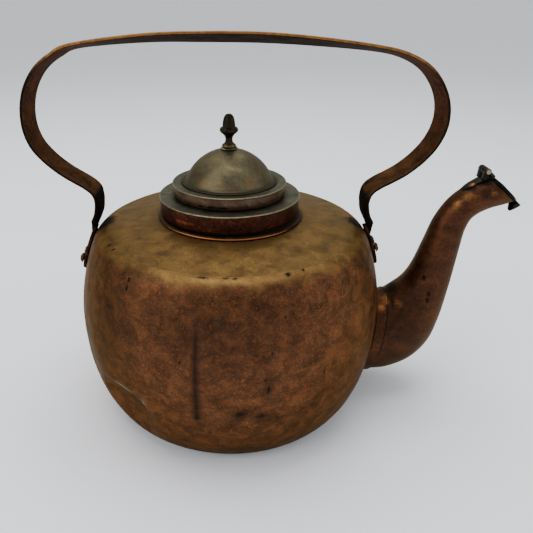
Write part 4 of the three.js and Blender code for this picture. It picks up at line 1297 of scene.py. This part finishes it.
def rivet_outline():
    """The peened tail inside the wall, the shank, and a domed head on the leaf."""
    seat, tail, shank, dome = 2 * SEAM + LEAF_SHEET, -4.1, 1.9, 2.6
    head = [(3.9 * math.cos(a) ** 0.75, seat + dome * math.sin(a)) for a in np.linspace(0, 1.5, 12)]
    return [(0, tail - 1.5), (2.2, tail - 1.5), (3.1, tail - 0.7), (3.2, tail), (shank, tail),
            (shank, seat), (3.7, seat)] + head + [(0, seat + dome)]


def battered(seed):
    """Hammer facets on a rivet's head."""
    def rule(points):
        return points * (1 + 0.035 * noise_at(points, 2.2, seed, 2))[:, None]
    return rule


def head_wear(points):
    return np.clip((points[:, 2] - 3.6) / 3, 0, 0.7)


RIVET_APART = 6.5  # each rivet from the leaf's middle line
BURR_TOP = -2.75  # the burr's face towards the wall, from the wall's skin

for foot in ("left", "right"):
    for i, way in enumerate((-1, 1), 1):
        matrix = seat_matrix(SIDE[foot], way * RIVET_APART, PINCH[foot] - RIVET_DROP[foot])
        head = turned(f"rivet_head_{foot}_{i}", rivet_outline(), rivet_metal, 40, closed=False,
                      shape=battered(i + len(foot)), marks={"wear_and_painted_highlight": head_wear})
        on_kettle(placed(head, matrix), "rivet_copper", f"rivet_{foot}_{i}")
        ring = washer(f"rivet_washer_{foot}_{i}", 4.4, 2.0, BURR_TOP - 1, BURR_TOP, rivet_metal, 40)
        on_kettle(placed(ring, matrix), "rivet_copper", f"rivet_burr_{foot}_{i}")


# ---------------------------------------------------------------- floor, light and camera

def floor_material():
    s = Shader("floor_paper", 0.0)
    tone = s.ramp(s.noise(400, 2), [(0.3, "#f9fafd"), (0.7, "#fbfcff")])
    return s.finish(tone, 0.9, s.bump(s.noise(3, 3), 0.02), 0.2)


bpy.ops.mesh.primitive_circle_add(vertices=96, radius=60.0, fill_type="NGON")
floor = bpy.context.active_object
floor.name = "floor"
floor.data.materials.append(floor_material())


def area_light(name, place, aim, size, power, colour=(1, 1, 1)):
    data = bpy.data.lights.new(name, "AREA")
    data.shape = "RECTANGLE"
    data.size, data.size_y = size
    data.energy = power
    data.color = colour
    light = bpy.data.objects.new(name, data)
    light.location = place
    light.rotation_euler = (Vector(aim) - Vector(place)).to_track_quat("-Z", "Y").to_euler()
    bpy.context.scene.collection.objects.link(light)


area_light("ceiling_softbox", (-0.1, 0.25, 1.5), (0, 0, 0.1), (1.6, 1.2), 20)
area_light("window_left", (-1.3, -0.9, 1.0), (0, 0, 0.1), (0.9, 0.9), 10, (1, 0.98, 0.95))
area_light("fill_right", (1.5, -0.3, 0.7), (0, 0, 0.1), (0.8, 0.8), 4, (0.96, 0.98, 1))

# The room's light dims towards the horizon to the floor's own shade, so that no line shows there.
world = bpy.data.worlds.new("pale_room")
world.use_nodes = True
room = world.node_tree
direction = room.nodes.new("ShaderNodeTexCoord")
split = room.nodes.new("ShaderNodeSeparateXYZ")
rise = room.nodes.new("ShaderNodeMapRange")
rise.interpolation_type = "SMOOTHSTEP"
rise.inputs["From Min"].default_value = 0.0
rise.inputs["From Max"].default_value = 0.3
blend = room.nodes.new("ShaderNodeMix")
blend.data_type = "RGBA"
room_light = linear("#d4d7db")
blend.inputs[6].default_value = [c * 0.95 for c in room_light[:3]] + [1.0]
blend.inputs[7].default_value = room_light
room.links.new(direction.outputs["Generated"], split.inputs[0])
room.links.new(split.outputs["Z"], rise.inputs["Value"])
room.links.new(rise.outputs["Result"], blend.inputs["Factor"])
room.links.new(blend.outputs[2], room.nodes["Background"].inputs["Color"])
room.nodes["Background"].inputs["Strength"].default_value = 1.12
bpy.context.scene.world = world

camera_data = bpy.data.cameras.new("camera")
camera_data.lens = 36.07
camera_data.sensor_width = 36.0
camera_data.shift_x = 0.0675
camera = bpy.data.objects.new("camera", camera_data)
camera.location = (0, -0.3881, 0.304)
camera.rotation_euler = (math.radians(63.55), 0, 0)
bpy.context.scene.collection.objects.link(camera)
bpy.context.scene.camera = camera

bpy.context.view_layer.update()
